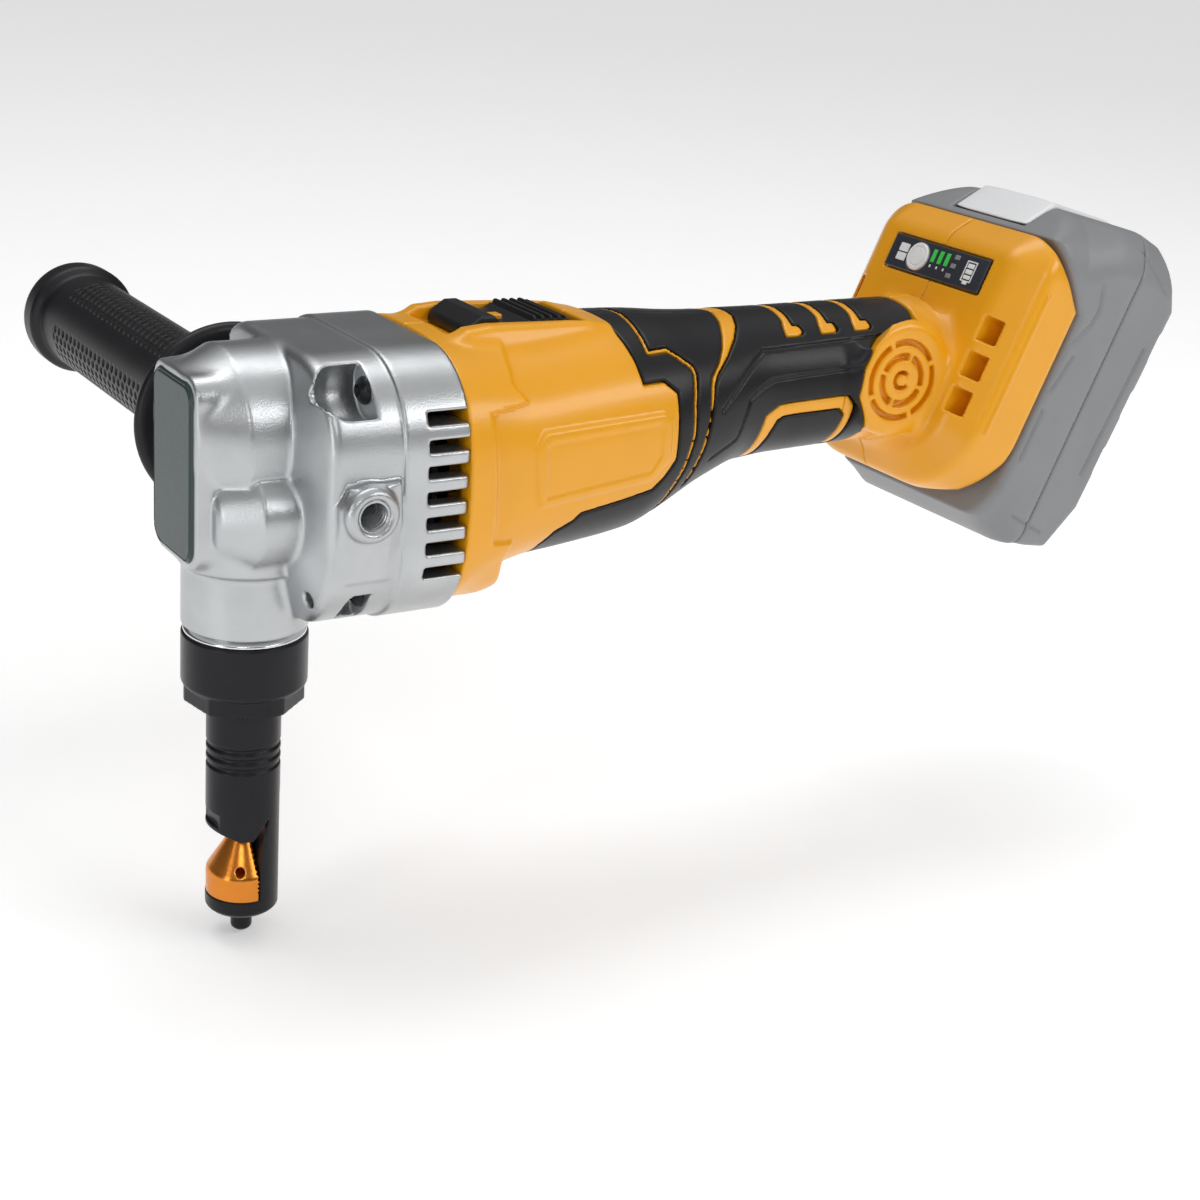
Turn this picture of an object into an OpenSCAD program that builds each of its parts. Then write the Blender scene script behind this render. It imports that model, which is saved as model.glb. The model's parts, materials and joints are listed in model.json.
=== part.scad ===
// Cordless nibbler. Millimetres, +Z up. The origin is the lowest point of the die screw,
// on the punch axis. The motor axis runs along +X, towards the battery.

/* [Gear head] */
// Height of the motor axis above the nose tip
motor_z = 131; // [130:0.5:132]
// Half width of the rear flange of the gear case
head_half = 38.3; // [37.5:0.1:39]
// Half height of the rear flange
head_high = 35.2; // [35:0.1:36]
// Corner radius of the rear flange
head_corner = 22.5; // [21:0.5:24]
// Where the gear case meets the motor housing
seam_x = 43; // [43:0.5:44]
// Front face of the gear case
front_x = -19.3; // [-21:0.1:-19]
// Radius of the spindle housing over the collar nut
spindle_r = 16.5; // [16:0.1:17]
// Distance of the side-handle axis behind the punch axis
handle_x = 15; // [14:0.5:16]

/* [Drive] */
// Module of the gear pair
gear_module = 0.8; // [0.78:0.01:0.8]
// Teeth on the motor pinion
pinion_teeth = 10; // [10:1:10]
// Teeth on the crank gear
crank_teeth = 26; // [26:1:26]
// Throw of the eccentric, half of the punch stroke
throw = 2.5; // [2:0.1:2.5]

/* [Nose] */
// Radius of the die-holder barrel
barrel_r = 10.04; // [9.9:0.01:10.1]
// Outer radius of the collar nut
nut_r = 16.25; // [16:0.05:16.5]
// Height of the top of the sheet gap
gap_top = 34.6; // [34.5:0.1:35]
// Radius of the punch neck
neck_r = 1.85; // [1.7:0.05:2]

/* [Side handle] */
// Radius of the rubber grip
side_grip_r = 15.1; // [14.5:0.1:15.5]
// Radius of the hand-guard flange
side_flange_r = 27; // [24:0.5:28]
// Outer end of the handle, from the tool's centre plane
side_end_y = 175.6; // [165:0.5:176]

/* [Motor] */
// Outer radius of the stator core
stator_r = 25; // [24.5:0.1:25]
// Length of the stator core
stator_len = 24; // [22:1:24]
// Radius of the rotor with its magnets
rotor_r = 13; // [12.5:0.1:13.4]
// Radius of the fan
fan_r = 30; // [28:0.5:30]

/* [Grip] */
// Height of the barrel-grip axis
grip_z = 143; // [142.5:0.1:143.5]
// Outer radius of the barrel grip
grip_r = 21.2; // [21:0.1:21.5]
// Thickness of the soft skin on the grip
skin = 1.8; // [1.6:0.1:1.8]

/* [Battery foot] */
// Rearward lean of the foot, in degrees
foot_tilt = 23.5; // [23:0.1:24]
// Half width of the foot
foot_half = 37.8; // [37.5:0.1:38]
// Half width of the battery pack
pack_half = 37.5; // [37:0.1:37.5]

/* [Hidden] */
$fn = 64;
smooth = 32;
eps = 0.02;
clear = 0.3;
far = 60;

crank_z = motor_z + gear_module * (pinion_teeth + crank_teeth) / 2 + 0.05;

// Gear case
flange_x = 25;
block_x = 6.5;
spindle_z = 91.2;
spigot_r = 14;
spigot_z = 76;
boss_y = 43;
handle_hole_r = 4.05;
handle_hole_y = 28;
cavity_r = 33.5;
case_screw_y = 27;
case_screw_z = [motor_z - 25.5, motor_z + 27.2];
column_r = 3;
case_screw_end = 49;
case_screw_x = 18.6;
vent_count = 7;
vent_pitch = 6.62;
vent_h = 3.2;
vent_top_z = 153.8;
nose_mid_z = 135.2;

// Crank and ram
web_x = 4.2;
crank_journal_r = 4;
tail_r = 2.5;
pin_r = 2.5;
roller_r = 5.5;
gear_x = [15.5, 24];
front_race_x = 7;
rear_race_x = 26.5;
rotor_race_x = 30.8;
slot_half_y = roller_r + throw + 0.4;
slot_half_z = roller_r + 2 * throw + clear;
yoke_half_y = slot_half_y + 4;
yoke_half_z = slot_half_z + 3;
yoke_t = 5;
ram_r = 6;
ram_low = 56;
shank_r = 3.5;
guide_r = 4.9;
bush_r = 8.5;
bush_z = [83, 116];

// Nose
nut_z = [67, 89];
flange_r = 13;
die_r = 9.7;
die_z = [13, 20, 29.5];
screw_r = 2;
tip_z = 18.5;

// Motor
stator_x = 56;
fan_x = 37;
shaft_r = 3;
bay_r = 26.8;
bracket_r = 25.4;
bay_end = 94;
bracket_x = 90;

// Housing stations: x, centre height, half width, half height, corner radius
stations = [
  [seam_x, motor_z, head_half, head_high, head_corner],
  [80, 134.4, 33.8, 31.8, 27],
  [100, 136, 31.6, 30.6, 27],
  [118, 138.9, 29, 26.8, 25],
  [150, grip_z, grip_r, grip_r, grip_r - eps]
];
grip_end = 212;
core_r = grip_r - skin;
duct_r = 16.8;

// Switch
slider_x = [55, 90];
slider_travel = 5;
slider_half = 11;
slider_z = [164.6, 169.4];
link_z = 158.2;

// Battery foot, in its own frame: X into the foot, Z up along its face
foot_at = [222, 0, 174.6];
button_y = 8.4;
button_r = 4.4;
window_s = button_r + 0.4;
rail_n = [14, 26];
rail_s = [-44, 17.4];
pack_split = 44;
latch_s = 31.6;
cell_r = 9.1;
cell_pitch = 18.7;
cell_n = 45.5;
cell_s0 = -18.5;
pack_profile = [
  [26.2, -66], [26.2, 1.2], [9, 17.6], [12, 22.5], [21.5, 34], [45, 34.5], [57, 26], [64, 16],
  [62, -50], [56, -65], [40, -70]
];

// Screws that close the two shells: x, z, depth of the boss from the centre plane
shell_bosses = [[112, 118.5, 17], [175, 130.5, 11], [175, 155.5, 11]];
foot_bosses = [[7, 10.5, 22], [7, -53, 22]];

orange = [0.94, 0.62, 0.04];
black = [0.07, 0.07, 0.08];
alloy = [0.72, 0.73, 0.75];
steel = [0.55, 0.56, 0.58];
copper = [0.80, 0.42, 0.14];
pack_grey = [0.55, 0.55, 0.57];
board_green = [0.08, 0.32, 0.16];

// ---- Shared shapes ----

module rounded(w, h, r) {
  square([w, h - 2 * r], center = true);
  square([w - 2 * r, h], center = true);
  for (sy = [-1, 1], sz = [-1, 1])
    translate([sy * (w / 2 - r), sz * (h / 2 - r)]) circle(r);
}

// Extrudes a Y-Z outline along +X
module slab(x, len, z = 0) translate([x, 0, z]) rotate([90, 0, 90]) linear_extrude(len) children();

module rod_x(x0, x1, r, y = 0, z = motor_z)
  translate([x0, y, z]) rotate([0, 90, 0]) cylinder(h = x1 - x0, r = r);

module rod_y(y0, y1, r, x, z) translate([x, y0, z]) rotate([-90, 0, 0]) cylinder(h = y1 - y0, r = r);

module rod_z(z0, z1, r) translate([0, 0, z0]) cylinder(h = z1 - z0, r = r);

module ring_x(x0, x1, r_out, r_in, y = 0, z = motor_z) difference() {
  rod_x(x0, x1, r_out, y, z);
  rod_x(x0 - 1, x1 + 1, r_in, y, z);
}

module ring_z(z0, z1, r_out, r_in) difference() {
  rod_z(z0, z1, r_out);
  rod_z(z0 - 1, z1 + 1, r_in);
}

module block(x, y, z) translate([x[0], y[0], z[0]]) cube([x[1] - x[0], y[1] - y[0], z[1] - z[0]]);

module in_foot() translate(foot_at) rotate([0, foot_tilt, 0]) children();

// Extrudes an outline in the foot's side view across the centre plane
module foot_slice(half) rotate([90, 0, 0]) linear_extrude(2 * half, center = true) children();

// Ball bearing with a shallow recess for its shields
module bearing(x, w, r_out, r_in, y = 0, z = motor_z) difference() {
  rod_x(x, x + w, r_out, y, z);
  rod_x(x - 1, x + w + 1, r_in, y, z);
  for (face = [x - 1, x + w - 0.4])
    ring_x(face, face + 1.4, r_out - (r_out - r_in) * 0.22, r_in + (r_out - r_in) * 0.22, y, z);
}

// Involute flank at radius r, as an angle from the tooth's centre line
function inv(a) = tan(a) - a * PI / 180;
function flank(r, pitch_r, half_deg, pa) =
  let (base = pitch_r * cos(pa))
  half_deg + (inv(pa) - (r > base ? inv(acos(base / r)) : 0)) * 180 / PI;

module gear_outline(teeth, mod, turn) {
  pa = 25;
  pitch_r = teeth * mod / 2;
  root_r = pitch_r - 1.15 * mod;
  tip_r = pitch_r + 0.9 * mod;
  half_deg = 90 / teeth - 0.06 / pitch_r * 180 / PI;
  radii = [root_r, pitch_r - 0.55 * mod, pitch_r, pitch_r + 0.5 * mod, tip_r];
  last = len(radii) - 1;
  polygon([
    for (t = [0 : teeth - 1], i = [-last : last + 1])
      let (k = i <= 0 ? last + i : last + 1 - i)
      let (r = radii[k], a = flank(r, pitch_r, half_deg, pa) * (i <= 0 ? -1 : 1))
      let (dir = turn + t * 360 / teeth + a)
      r * [cos(dir), sin(dir)]
  ]);
}

// ---- Gear head ----

module station_slab(s, grow = 0, len = 0.1)
  slab(s[0], len, s[1])
    rounded(2 * (s[2] + grow), 2 * (s[3] + grow), s[4] + grow - eps, $fn = smooth);

module case_vents()
  for (i = [0 : vent_count - 1], side = [-1, 1])
    translate([31, side > 0 ? 20 : -40, vent_top_z - vent_h / 2 - i * vent_pitch])
      cube([seam_x - 31 + 1, 20, vent_h]);

module case_pockets()
  for (side = [-1, 1]) {
    block([-2, case_screw_x], side > 0 ? [21, 45] : [-45, -21], [case_screw_z[1] - 7, 175]);
    block([6, case_screw_x], side > 0 ? [21, 45] : [-45, -21], [85, case_screw_z[0] + 5]);
  }

module gear_case() color(alloy) difference() {
  union() {
    hull() {
      slab(front_x + 1.2, 0.5, nose_mid_z) polygon([
        [-15, -19], [-9, -25], [9, -25], [15, -19], [15, 19], [9, 25], [-9, 25], [-15, 19]
      ]);
      slab(-5, 12, 137.2) rounded(56, 55.5, 20, $fn = smooth);
    }
    slab(block_x, flange_x - block_x, motor_z) rounded(2 * head_half - 1, 2 * head_high - 1, head_corner);
    slab(flange_x, seam_x - flange_x, motor_z) rounded(2 * head_half, 2 * head_high, head_corner);
    rod_z(spindle_z, 112, spindle_r);
    block([0, 12], [-12, 12], [95, 112]);
    rod_z(spigot_z, spindle_z + 1, spigot_r);
    rod_y(-boss_y, boss_y, 7.25, handle_x, motor_z);
  }
  case_pockets();
  case_vents();
  rod_z(spigot_z - 1, 82, 11.1);
  rod_z(80, 117, bush_r);
  block([-6.6, front_race_x], [-yoke_half_y - 0.8, yoke_half_y + 0.8],
    [bush_z[1], crank_z + yoke_half_z + 3]);
  rod_x(front_race_x - 1, 15, 11, 0, crank_z);
  rod_x(14, 27, 12.6, 0, crank_z);
  rod_x(14, 27, 8, 0, motor_z);
  rod_x(26, 33.2, 33, 0, motor_z);
  rod_x(33, seam_x + 1, cavity_r, 0, motor_z);
  rod_y(-far, -handle_hole_y, handle_hole_r, handle_x, motor_z);
  rod_y(handle_hole_y, far, handle_hole_r, handle_x, motor_z);
  for (y = [-case_screw_y, case_screw_y], z = case_screw_z) rod_x(0, seam_x + 1, 2.05, y, z);
}

module front_plate() color([0.12, 0.16, 0.15])
  slab(front_x, 1.2, nose_mid_z) polygon([
    [-13, -18.3], [-7.8, -23.7], [7.8, -23.7], [13, -18.3],
    [13, 18.3], [7.8, 23.7], [-7.8, 23.7], [-13, 18.3]
  ]);

module gear_case_screws() color(black)
  for (y = [-case_screw_y, case_screw_y], z = case_screw_z) difference() {
    union() {
      rod_x(case_screw_x - 4, case_screw_x, 3.5, y, z);
      rod_x(case_screw_x, case_screw_end, 2, y, z);
    }
    slab(case_screw_x - 5, 3, z) translate([y, 0]) circle(1.7, $fn = 6);
  }

module bearing_plate() color(alloy) difference() {
  union() {
    rod_x(26.2, 33, 32.9);
    rod_x(33, 35.8, 13);
  }
  rod_x(26, 37, 3.8);
  rod_x(rotor_race_x, 37, 7.5);
  rod_x(26, rear_race_x + 4, 6.5, 0, crank_z);
}

module rotor_front_bearing() color(steel) bearing(rotor_race_x, 5, 7.5, shaft_r + eps);

module rotor_rear_bearing() color(steel) bearing(87, 5, 7.5, shaft_r + eps);

module crank_front_bearing() color(steel)
  bearing(front_race_x, 7, 11, crank_journal_r + eps, 0, crank_z);

module crank_rear_bearing() color(steel) bearing(rear_race_x, 4, 6.5, tail_r + eps, 0, crank_z);

module ram_bush() color([0.72, 0.55, 0.25]) ring_z(bush_z[0], bush_z[1], bush_r, ram_r + 0.05);

// ---- Crank and ram ----

module crankshaft() color(steel) {
  rod_x(web_x, 6.8, 8, 0, crank_z);
  rod_x(6.8, 25.5, crank_journal_r, 0, crank_z);
  rod_x(25.5, 30.3, tail_r, 0, crank_z);
  rod_x(-3.6, web_x, pin_r, throw, crank_z);
}

module crank_gear() color(steel) difference() {
  slab(gear_x[0], gear_x[1] - gear_x[0], crank_z)
    gear_outline(crank_teeth, gear_module, -90 + 180 / crank_teeth);
  rod_x(gear_x[0] - 1, gear_x[1] + 1, crank_journal_r, 0, crank_z);
}

module crank_circlips() color(black) {
  ring_x(-3.4, -2.4, 3.9, pin_r, throw, crank_z);
  ring_x(gear_x[1] + 0.1, gear_x[1] + 1.1, 5.4, crank_journal_r, 0, crank_z);
}

module yoke_bearing() color(steel) bearing(-2, 4, roller_r, pin_r, throw, crank_z);

module ram() color(steel) difference() {
  union() {
    slab(-yoke_t / 2, yoke_t, crank_z) rounded(2 * yoke_half_y, 2 * yoke_half_z, 6);
    block([-yoke_t / 2, yoke_t / 2], [-5.4, 5.4], [120, crank_z - slot_half_z - 1]);
    rod_z(ram_low, 126, ram_r);
  }
  slab(-yoke_t, 2 * yoke_t, crank_z) rounded(2 * slot_half_y, 2 * slot_half_z, roller_r + clear);
  rod_z(ram_low - 1, 73, shank_r + 0.04);
}

module punch() color(copper) {
  rod_z(52, 72, shank_r);
  rod_z(38, 52, guide_r);
  rod_z(tip_z + 3, 38, neck_r);
  rod_z(tip_z, tip_z + 3, neck_r + 0.5);
}

// ---- Nose ----

module die_holder() color(black) difference() {
  union() {
    rod_z(8, 71.3, barrel_r);
    rod_z(71.3, 75.7, flange_r);
    rod_z(75, 80, 11);
  }
  rod_z(52.5, 81, ram_r + 0.35);
  rod_z(gap_top - 1, 60, guide_r + 0.05);
  rod_z(7, 14, screw_r + 0.05);
  block([-12, 4], [-12, 12], [die_z[0], gap_top]);
  block([8.9, 12], [-12, 12], [7, 42]);
  for (i = [0 : 2]) translate([0, 0, 51.2 + i * 2.8]) ring_z(0, 1.2, 12, barrel_r - 0.7);
}

module die() color(copper) difference() {
  union() {
    rod_z(die_z[0], die_z[1], die_r);
    translate([0, 0, die_z[1]]) cylinder(h = die_z[2] - die_z[1], r1 = die_r, r2 = 3.8);
  }
  rod_z(12, 31, screw_r + 0.05);
  rod_z(15.2, 31, neck_r + 0.6);
  block([3.7, 12], [-12, 12], [12, 31]);
  translate([0, 0, 24]) rotate([0, 0, -100]) rotate([0, 90, 0]) cylinder(h = 12, r = 1.1);
}

module die_screw() color(black) {
  rod_z(0, 8, 2.55);
  rod_z(8, 15, screw_r);
}

module collar_nut() color(black) difference() {
  union() {
    rod_z(nut_z[0] + 4, nut_z[1], nut_r);
    translate([0, 0, nut_z[0] + 1.5]) cylinder(h = 2.5, r1 = nut_r - 2, r2 = nut_r);
    translate([0, 0, nut_z[0]]) cylinder(h = 1.6, r = nut_r - 2);
  }
  rod_z(nut_z[0] - 1, nut_z[1], barrel_r + 0.35);
  rod_z(71, nut_z[1] + 1, spigot_r + 0.08);
}

module nose_ring() color([0.85, 0.86, 0.88]) ring_z(nut_z[1], nut_z[1] + 2, nut_r - 0.1, spigot_r + 0.08);

// ---- Side handle ----

module side_handle_core() color([0.16, 0.16, 0.17]) difference() {
  rod_y(45.6, side_end_y - 4, 11, handle_x, motor_z);
  rod_y(45, 62, 4, handle_x, motor_z);
}

module side_handle_grip() color(black) difference() {
  union() {
    rod_y(46, 50, side_flange_r, handle_x, motor_z);
    rod_y(50, side_end_y - 14, side_grip_r, handle_x, motor_z);
    rod_y(side_end_y - 14, side_end_y, side_grip_r + 1, handle_x, motor_z);
  }
  rod_y(45, side_end_y - 4, 11, handle_x, motor_z);
}

module side_handle_stud() color(steel) rod_y(handle_hole_y + 0.5, 62, 4, handle_x, motor_z);

module handle_washer() color(black) difference() {
  rod_y(boss_y + 0.2, 45.4, 9, handle_x, motor_z);
  rod_y(boss_y, 46, 4.1, handle_x, motor_z);
}

// ---- Motor ----

module stator_core() color([0.35, 0.35, 0.37]) difference() {
  rod_x(stator_x, stator_x + stator_len, stator_r);
  rod_x(stator_x - 1, stator_x + stator_len + 1, rotor_r + 0.7);
  for (a = [0 : 60 : 300]) translate([0, 0, motor_z]) rotate([a, 0, 0])
    block([stator_x - 1, stator_x + stator_len + 1], [-5, 5], [16.5, 21]);
}

module stator_windings() color([0.75, 0.38, 0.12])
  for (a = [0 : 60 : 300]) translate([0, 0, motor_z]) rotate([a, 0, 0])
    block([stator_x - 4, stator_x + stator_len + 4], [-4.6, 4.6], [16.9, 20.6]);

module stator_insulators() color([0.9, 0.9, 0.86])
  for (x = [stator_x - 1.5, stator_x + stator_len]) difference() {
    ring_x(x, x + 1.5, stator_r - 0.5, rotor_r + 1.5);
    for (a = [0 : 60 : 300]) translate([0, 0, motor_z]) rotate([a, 0, 0])
      block([x - 1, x + 3], [-5, 5], [16.5, 21]);
  }

module rotor_shaft() color(steel) {
  rod_x(15, 26, 2);
  rod_x(26, 92.5, shaft_r);
}

module rotor_core() color([0.4, 0.4, 0.42])
  ring_x(stator_x, stator_x + stator_len, rotor_r - 2, shaft_r);

module rotor_magnets() color([0.3, 0.31, 0.34])
  ring_x(stator_x + 1, stator_x + stator_len - 1, rotor_r, rotor_r - 2);

module pinion() color(steel) difference() {
  slab(gear_x[0] + 0.4, gear_x[1] - gear_x[0], motor_z) gear_outline(pinion_teeth, gear_module, 90);
  rod_x(gear_x[0], gear_x[1] + 1, 2);
}

module fan() color([0.15, 0.15, 0.16]) difference() {
  union() {
    rod_x(fan_x, fan_x + 1.5, fan_r);
    rod_x(fan_x, fan_x + 8, 7);
    for (a = [0 : 30 : 330]) translate([0, 0, motor_z]) rotate([a, 0, 0])
      block([fan_x + 1, fan_x + 7.5], [-0.8, 0.8], [14, fan_r - 1]);
  }
  rod_x(fan_x - 1, fan_x + 9, shaft_r);
}

module motor_bracket() color([0.2, 0.2, 0.22]) difference() {
  union() {
    rod_x(bracket_x, bracket_x + 3, bracket_r);
    rod_x(86, bracket_x + 1, 10);
  }
  rod_x(85, 92, 7.5);
  rod_x(91, 94, 4);
  for (a = [0 : 60 : 300]) translate([0, 0, motor_z]) rotate([a, 0, 0]) translate([0, 0, 19])
    rotate([0, 90, 0]) translate([0, 0, bracket_x - 5]) cylinder(h = 12, r = 5);
  block([80, 100], [-2.4, 2.4], [155.4, 165]);
}

module fan_baffle() color(orange) ring_x(46.2, 48.2, 33, 22);

// ---- Housing ----

module housing_outer() {
  hull() {
    station_slab(stations[0]);
    station_slab(stations[1]);
  }
  hull() {
    station_slab(stations[1]);
    station_slab(stations[2]);
  }
  hull() {
    station_slab(stations[2], -skin);
    station_slab(stations[4], -skin);
  }
  rod_x(stations[4][0], grip_end, core_r, 0, grip_z);
  rod_x(193, grip_end, grip_r + 1, 0, grip_z);
  slab(49, 46, 161.8) rounded(30, 14.4, 4);
  in_foot() hull() {
    foot_slice(foot_half) polygon([[7, 14.6], [25, 1.4], [25, -46], [20, -59], [7, -61]]);
    foot_slice(28) polygon([[0, 12], [3, 18], [8, 17], [12, -64], [3, -64.6], [0, -61]]);
  }
}

// Cable duct that leans from the motor bay up to the grip
module duct_cone() translate([bay_end - 1, 0, 133.4]) rotate([0, 90 - 9.9, 0])
  cylinder(h = 57, r1 = 26, r2 = duct_r);

module housing_hollow() {
  rod_x(seam_x - 1, 48.6, 33.2);
  rod_x(48, 86, bay_r);
  rod_x(85, bay_end, bracket_r);
  duct_cone();
  rod_x(148, 214, duct_r, 0, grip_z);
  block([slider_x[0] - slider_travel - 0.4, slider_x[1] + 0.4], [-slider_half - 0.4, slider_half + 0.4],
    [slider_z[0] - clear, far + 130]);
  block([74.6, 86.4], [-3.4, 3.4], [155, 168]);
  rod_x(76, 110, 2, 0, link_z);
  in_foot() {
    foot_slice(26) polygon([[3.2, 10], [11, 10], [11, -56], [3.2, -56]]);
    foot_slice(28.2) polygon([[13, 30], [18.8, 30], [18.8, -46], [13, -46]]);
    foot_slice(24.4) polygon([[13, 30], [30, 30], [30, -46], [13, -46]]);
    foot_slice(14.3) polygon([[9, -30], [14, -30], [14, -44.3], [9, -44.3]]);
    foot_slice(21.4) polygon([[-1, 5.4], [1.5, 5.4], [1.5, -5.4], [-1, -5.4]]);
    foot_slice(19) polygon([[1, window_s], [4, window_s], [4, -window_s], [1, -window_s]]);
  }
}

module motor_ribs()
  for (x = [60, 70]) ring_x(x, x + 2, bay_r + 0.5, stator_r + 0.05);

module screw_column(depth) rotate([-90, 0, 0]) translate([0, 0, -depth]) cylinder(h = 2 * depth, r = 3.2);

module screw_drill(depth) rotate([-90, 0, 0]) {
  translate([0, 0, -depth + 3]) cylinder(h = 2 * depth, r = 1.52);
  translate([0, 0, depth - 3]) cylinder(h = far, r = 2.9);
}

module at_bosses() {
  for (b = shell_bosses) translate([b[0], 0, b[1]]) {
    $depth = b[2];
    children();
  }
  in_foot() for (b = foot_bosses) translate([b[0], 0, b[1]]) {
    $depth = b[2];
    children();
  }
}

module side_half(side) translate([-50, side > 0 ? 0 : -100, 0]) cube([400, 100, 250]);

module housing_half(side) color(orange) intersection() {
  difference() {
    union() {
      difference() {
        housing_outer();
        housing_hollow();
      }
      motor_ribs();
      at_bosses() screw_column($depth);
      for (y = [-case_screw_y, case_screw_y], z = case_screw_z)
        rod_x(seam_x, case_screw_end + 1, column_r, y, z);
    }
    at_bosses() screw_drill($depth);
    for (y = [-case_screw_y, case_screw_y], z = case_screw_z)
      rod_x(seam_x - 1, case_screw_end + 0.5, 2.02, y, z);
  }
  side_half(side);
}

module housing_left() housing_half(-1);

module housing_right() housing_half(1);

module overmould_half(side) color(black) intersection() {
  difference() {
    union() {
      hull() {
        station_slab(stations[2]);
        station_slab(stations[3]);
      }
      hull() {
        station_slab(stations[3]);
        station_slab(stations[4]);
      }
      rod_x(stations[4][0], 192, grip_r, 0, grip_z);
    }
    hull() {
      station_slab(stations[2], -skin);
      station_slab(stations[4], -skin);
    }
    rod_x(stations[4][0] - 1, 199, core_r, 0, grip_z);
    at_bosses() screw_drill($depth);
    block([-1, 100.1], [-far, far], [80, 200]);
  }
  side_half(side);
}

module overmould_left() overmould_half(-1);

module overmould_right() overmould_half(1);

module shell_screws() color(steel) at_bosses() rotate([-90, 0, 0]) {
  translate([0, 0, -$depth + 4]) cylinder(h = 2 * $depth - 7, r = 1.5);
  translate([0, 0, $depth - 3]) cylinder(h = 2, r = 2.8);
}

// ---- Switch and wiring ----

module switch_slider() color(black) {
  block(slider_x, [-slider_half, slider_half], slider_z);
  block([80, 86], [-3, 3], [160.2, slider_z[0] + 1]);
}

module switch_link() color(steel) {
  block([81, 85], [-2, 2], [156.6, 160.2]);
  rod_x(84, 105, 1.5, 0, link_z);
}

module switch_body() color([0.1, 0.1, 0.12]) {
  block([106, 126], [-7, 7], [147, 158]);
  for (y = [-4, 4]) rod_x(126, 131, 1, y, 150);
}

module controller_board() color(board_green) {
  block([97, 142], [-12, 12], [135.6, 137.2]);
  for (x = [108 : 9 : 135], y = [-6, 6]) block([x, x + 6], [y - 3, y + 3], [137, 141]);
}

module motor_leads() color([0.1, 0.2, 0.6])
  for (y = [-2.7, 0, 2.7]) {
    rod_x(84.6, 99.5, 1.1, y, motor_z + 19);
    translate([99.5, y, motor_z + 19]) sphere(1.1);
    translate([99.5, y, 137.3]) cylinder(h = motor_z + 19 - 137.3, r = 1.1);
  }

module battery_leads() color([0.7, 0.08, 0.06]) for (y = [-6, 6]) rod_x(142.2, 212, 1.3, y, 136.4);

module terminal_block() color([0.12, 0.12, 0.13]) in_foot() {
  foot_slice(14) polygon([[10.2, -30.4], [17.6, -30.4], [17.6, -44], [10.2, -44]]);
  for (y = [-9, 0, 9]) block([15, 17], [y - 0.5, y + 0.5], [-31, -18]);
}

module display_panel() color([0.12, 0.13, 0.16]) in_foot() difference() {
  block([-0.4, 1.4], [-21.2, 21.2], [-5.2, 5.2]);
  translate([-1, button_y, 0]) rotate([0, 90, 0]) cylinder(h = 4, r = button_r + 0.2);
}

module display_board() color(board_green) in_foot() block([4.2, 5.6], [-20, 20], [-5, 5]);

module display_button() color([0.92, 0.92, 0.92]) in_foot()
  translate([-0.9, button_y, 0]) rotate([0, 90, 0]) cylinder(h = 4, r = button_r);

module display_leds() color([0.1, 0.7, 0.2]) in_foot()
  for (y = [-4.2, -1.2, 1.8]) block([1.5, 4.1], [y - 0.7, y + 0.7], [-2, 2]);

// ---- Battery pack ----

module pack_outer() foot_slice(pack_half) polygon(pack_profile);

module pack_hollow() foot_slice(34) polygon([
  [29, -64], [29, 28.4], [50, 28.4], [57.5, 20], [60, 13], [60, -50], [57, -62], [50, -65.4], [38, -65.4]
]);

module pack_rails() {
  foot_slice(23.6) polygon([
    [rail_n[0], rail_s[0]], [rail_n[1] + 1, rail_s[0]], [rail_n[1] + 1, rail_s[1]], [rail_n[0], rail_s[1]]
  ]);
  foot_slice(27.8) polygon([
    [rail_n[0], rail_s[0]], [18.4, rail_s[0]], [18.4, rail_s[1]], [rail_n[0], rail_s[1]]
  ]);
}

module latch_pocket()
  foot_slice(16.4) polygon([[0, 24.3], [21.4, 24.3], [26, 29.4], [50, 29.4], [50, 60], [0, 60]]);

module pack_screw_sites() for (y = [-35.75, 35.75], s = [-52, 8])
  translate([0, y, s]) rotate([0, 90, 0]) children();

module battery_top_shell() color(pack_grey) in_foot() difference() {
  union() {
    intersection() {
      pack_outer();
      block([0, pack_split], [-far, far], [-90, 60]);
    }
    pack_rails();
  }
  pack_hollow();
  latch_pocket();
  for (y = [-9, 0, 9]) block([13.4, 19], [y - 1.6, y + 1.6], [-50, -12]);
  foot_slice(14.4) polygon([[13, -29.8], [18.2, -29.8], [18.2, -50], [13, -50]]);
  pack_screw_sites() translate([0, 0, 34]) cylinder(h = 12, r = 1.25);
}

module battery_bottom_shell() color(pack_grey) in_foot() difference() {
  intersection() {
    pack_outer();
    block([pack_split, 90], [-far, far], [-90, 60]);
  }
  pack_hollow();
  latch_pocket();
  pack_screw_sites() {
    translate([0, 0, 40]) cylinder(h = 40, r = 1.3);
    translate([0, 0, 58]) cylinder(h = 12, r = 1.7);
  }
}

module latch_button() color([0.93, 0.93, 0.93]) in_foot() difference() {
  foot_slice(16) polygon([
    [13.8, 24.6], [18.1, 24.6], [22.8, 29.7], [46.6, 29.7], [46.6, 33.6], [45, 34.5], [21.5, 34]
  ]);
  translate([39, 0, latch_s]) rotate([0, 90, 0]) cylinder(h = 18, r = 1.3);
}

module latch_spring() color(steel) in_foot() translate([43, 0, latch_s]) rotate([0, 90, 0])
  rotate_extrude() polygon(concat(
    [for (i = [0 : 10]) [i % 2 == 0 ? 0.9 : 1.15, i * 0.68]],
    [for (i = [10 : -1 : 0]) [i % 2 == 0 ? 0.5 : 0.75, i * 0.68]]
  ));

module cell_sites() for (i = [-2 : 2]) translate([cell_n, 0, cell_s0 + i * cell_pitch]) children();

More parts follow.
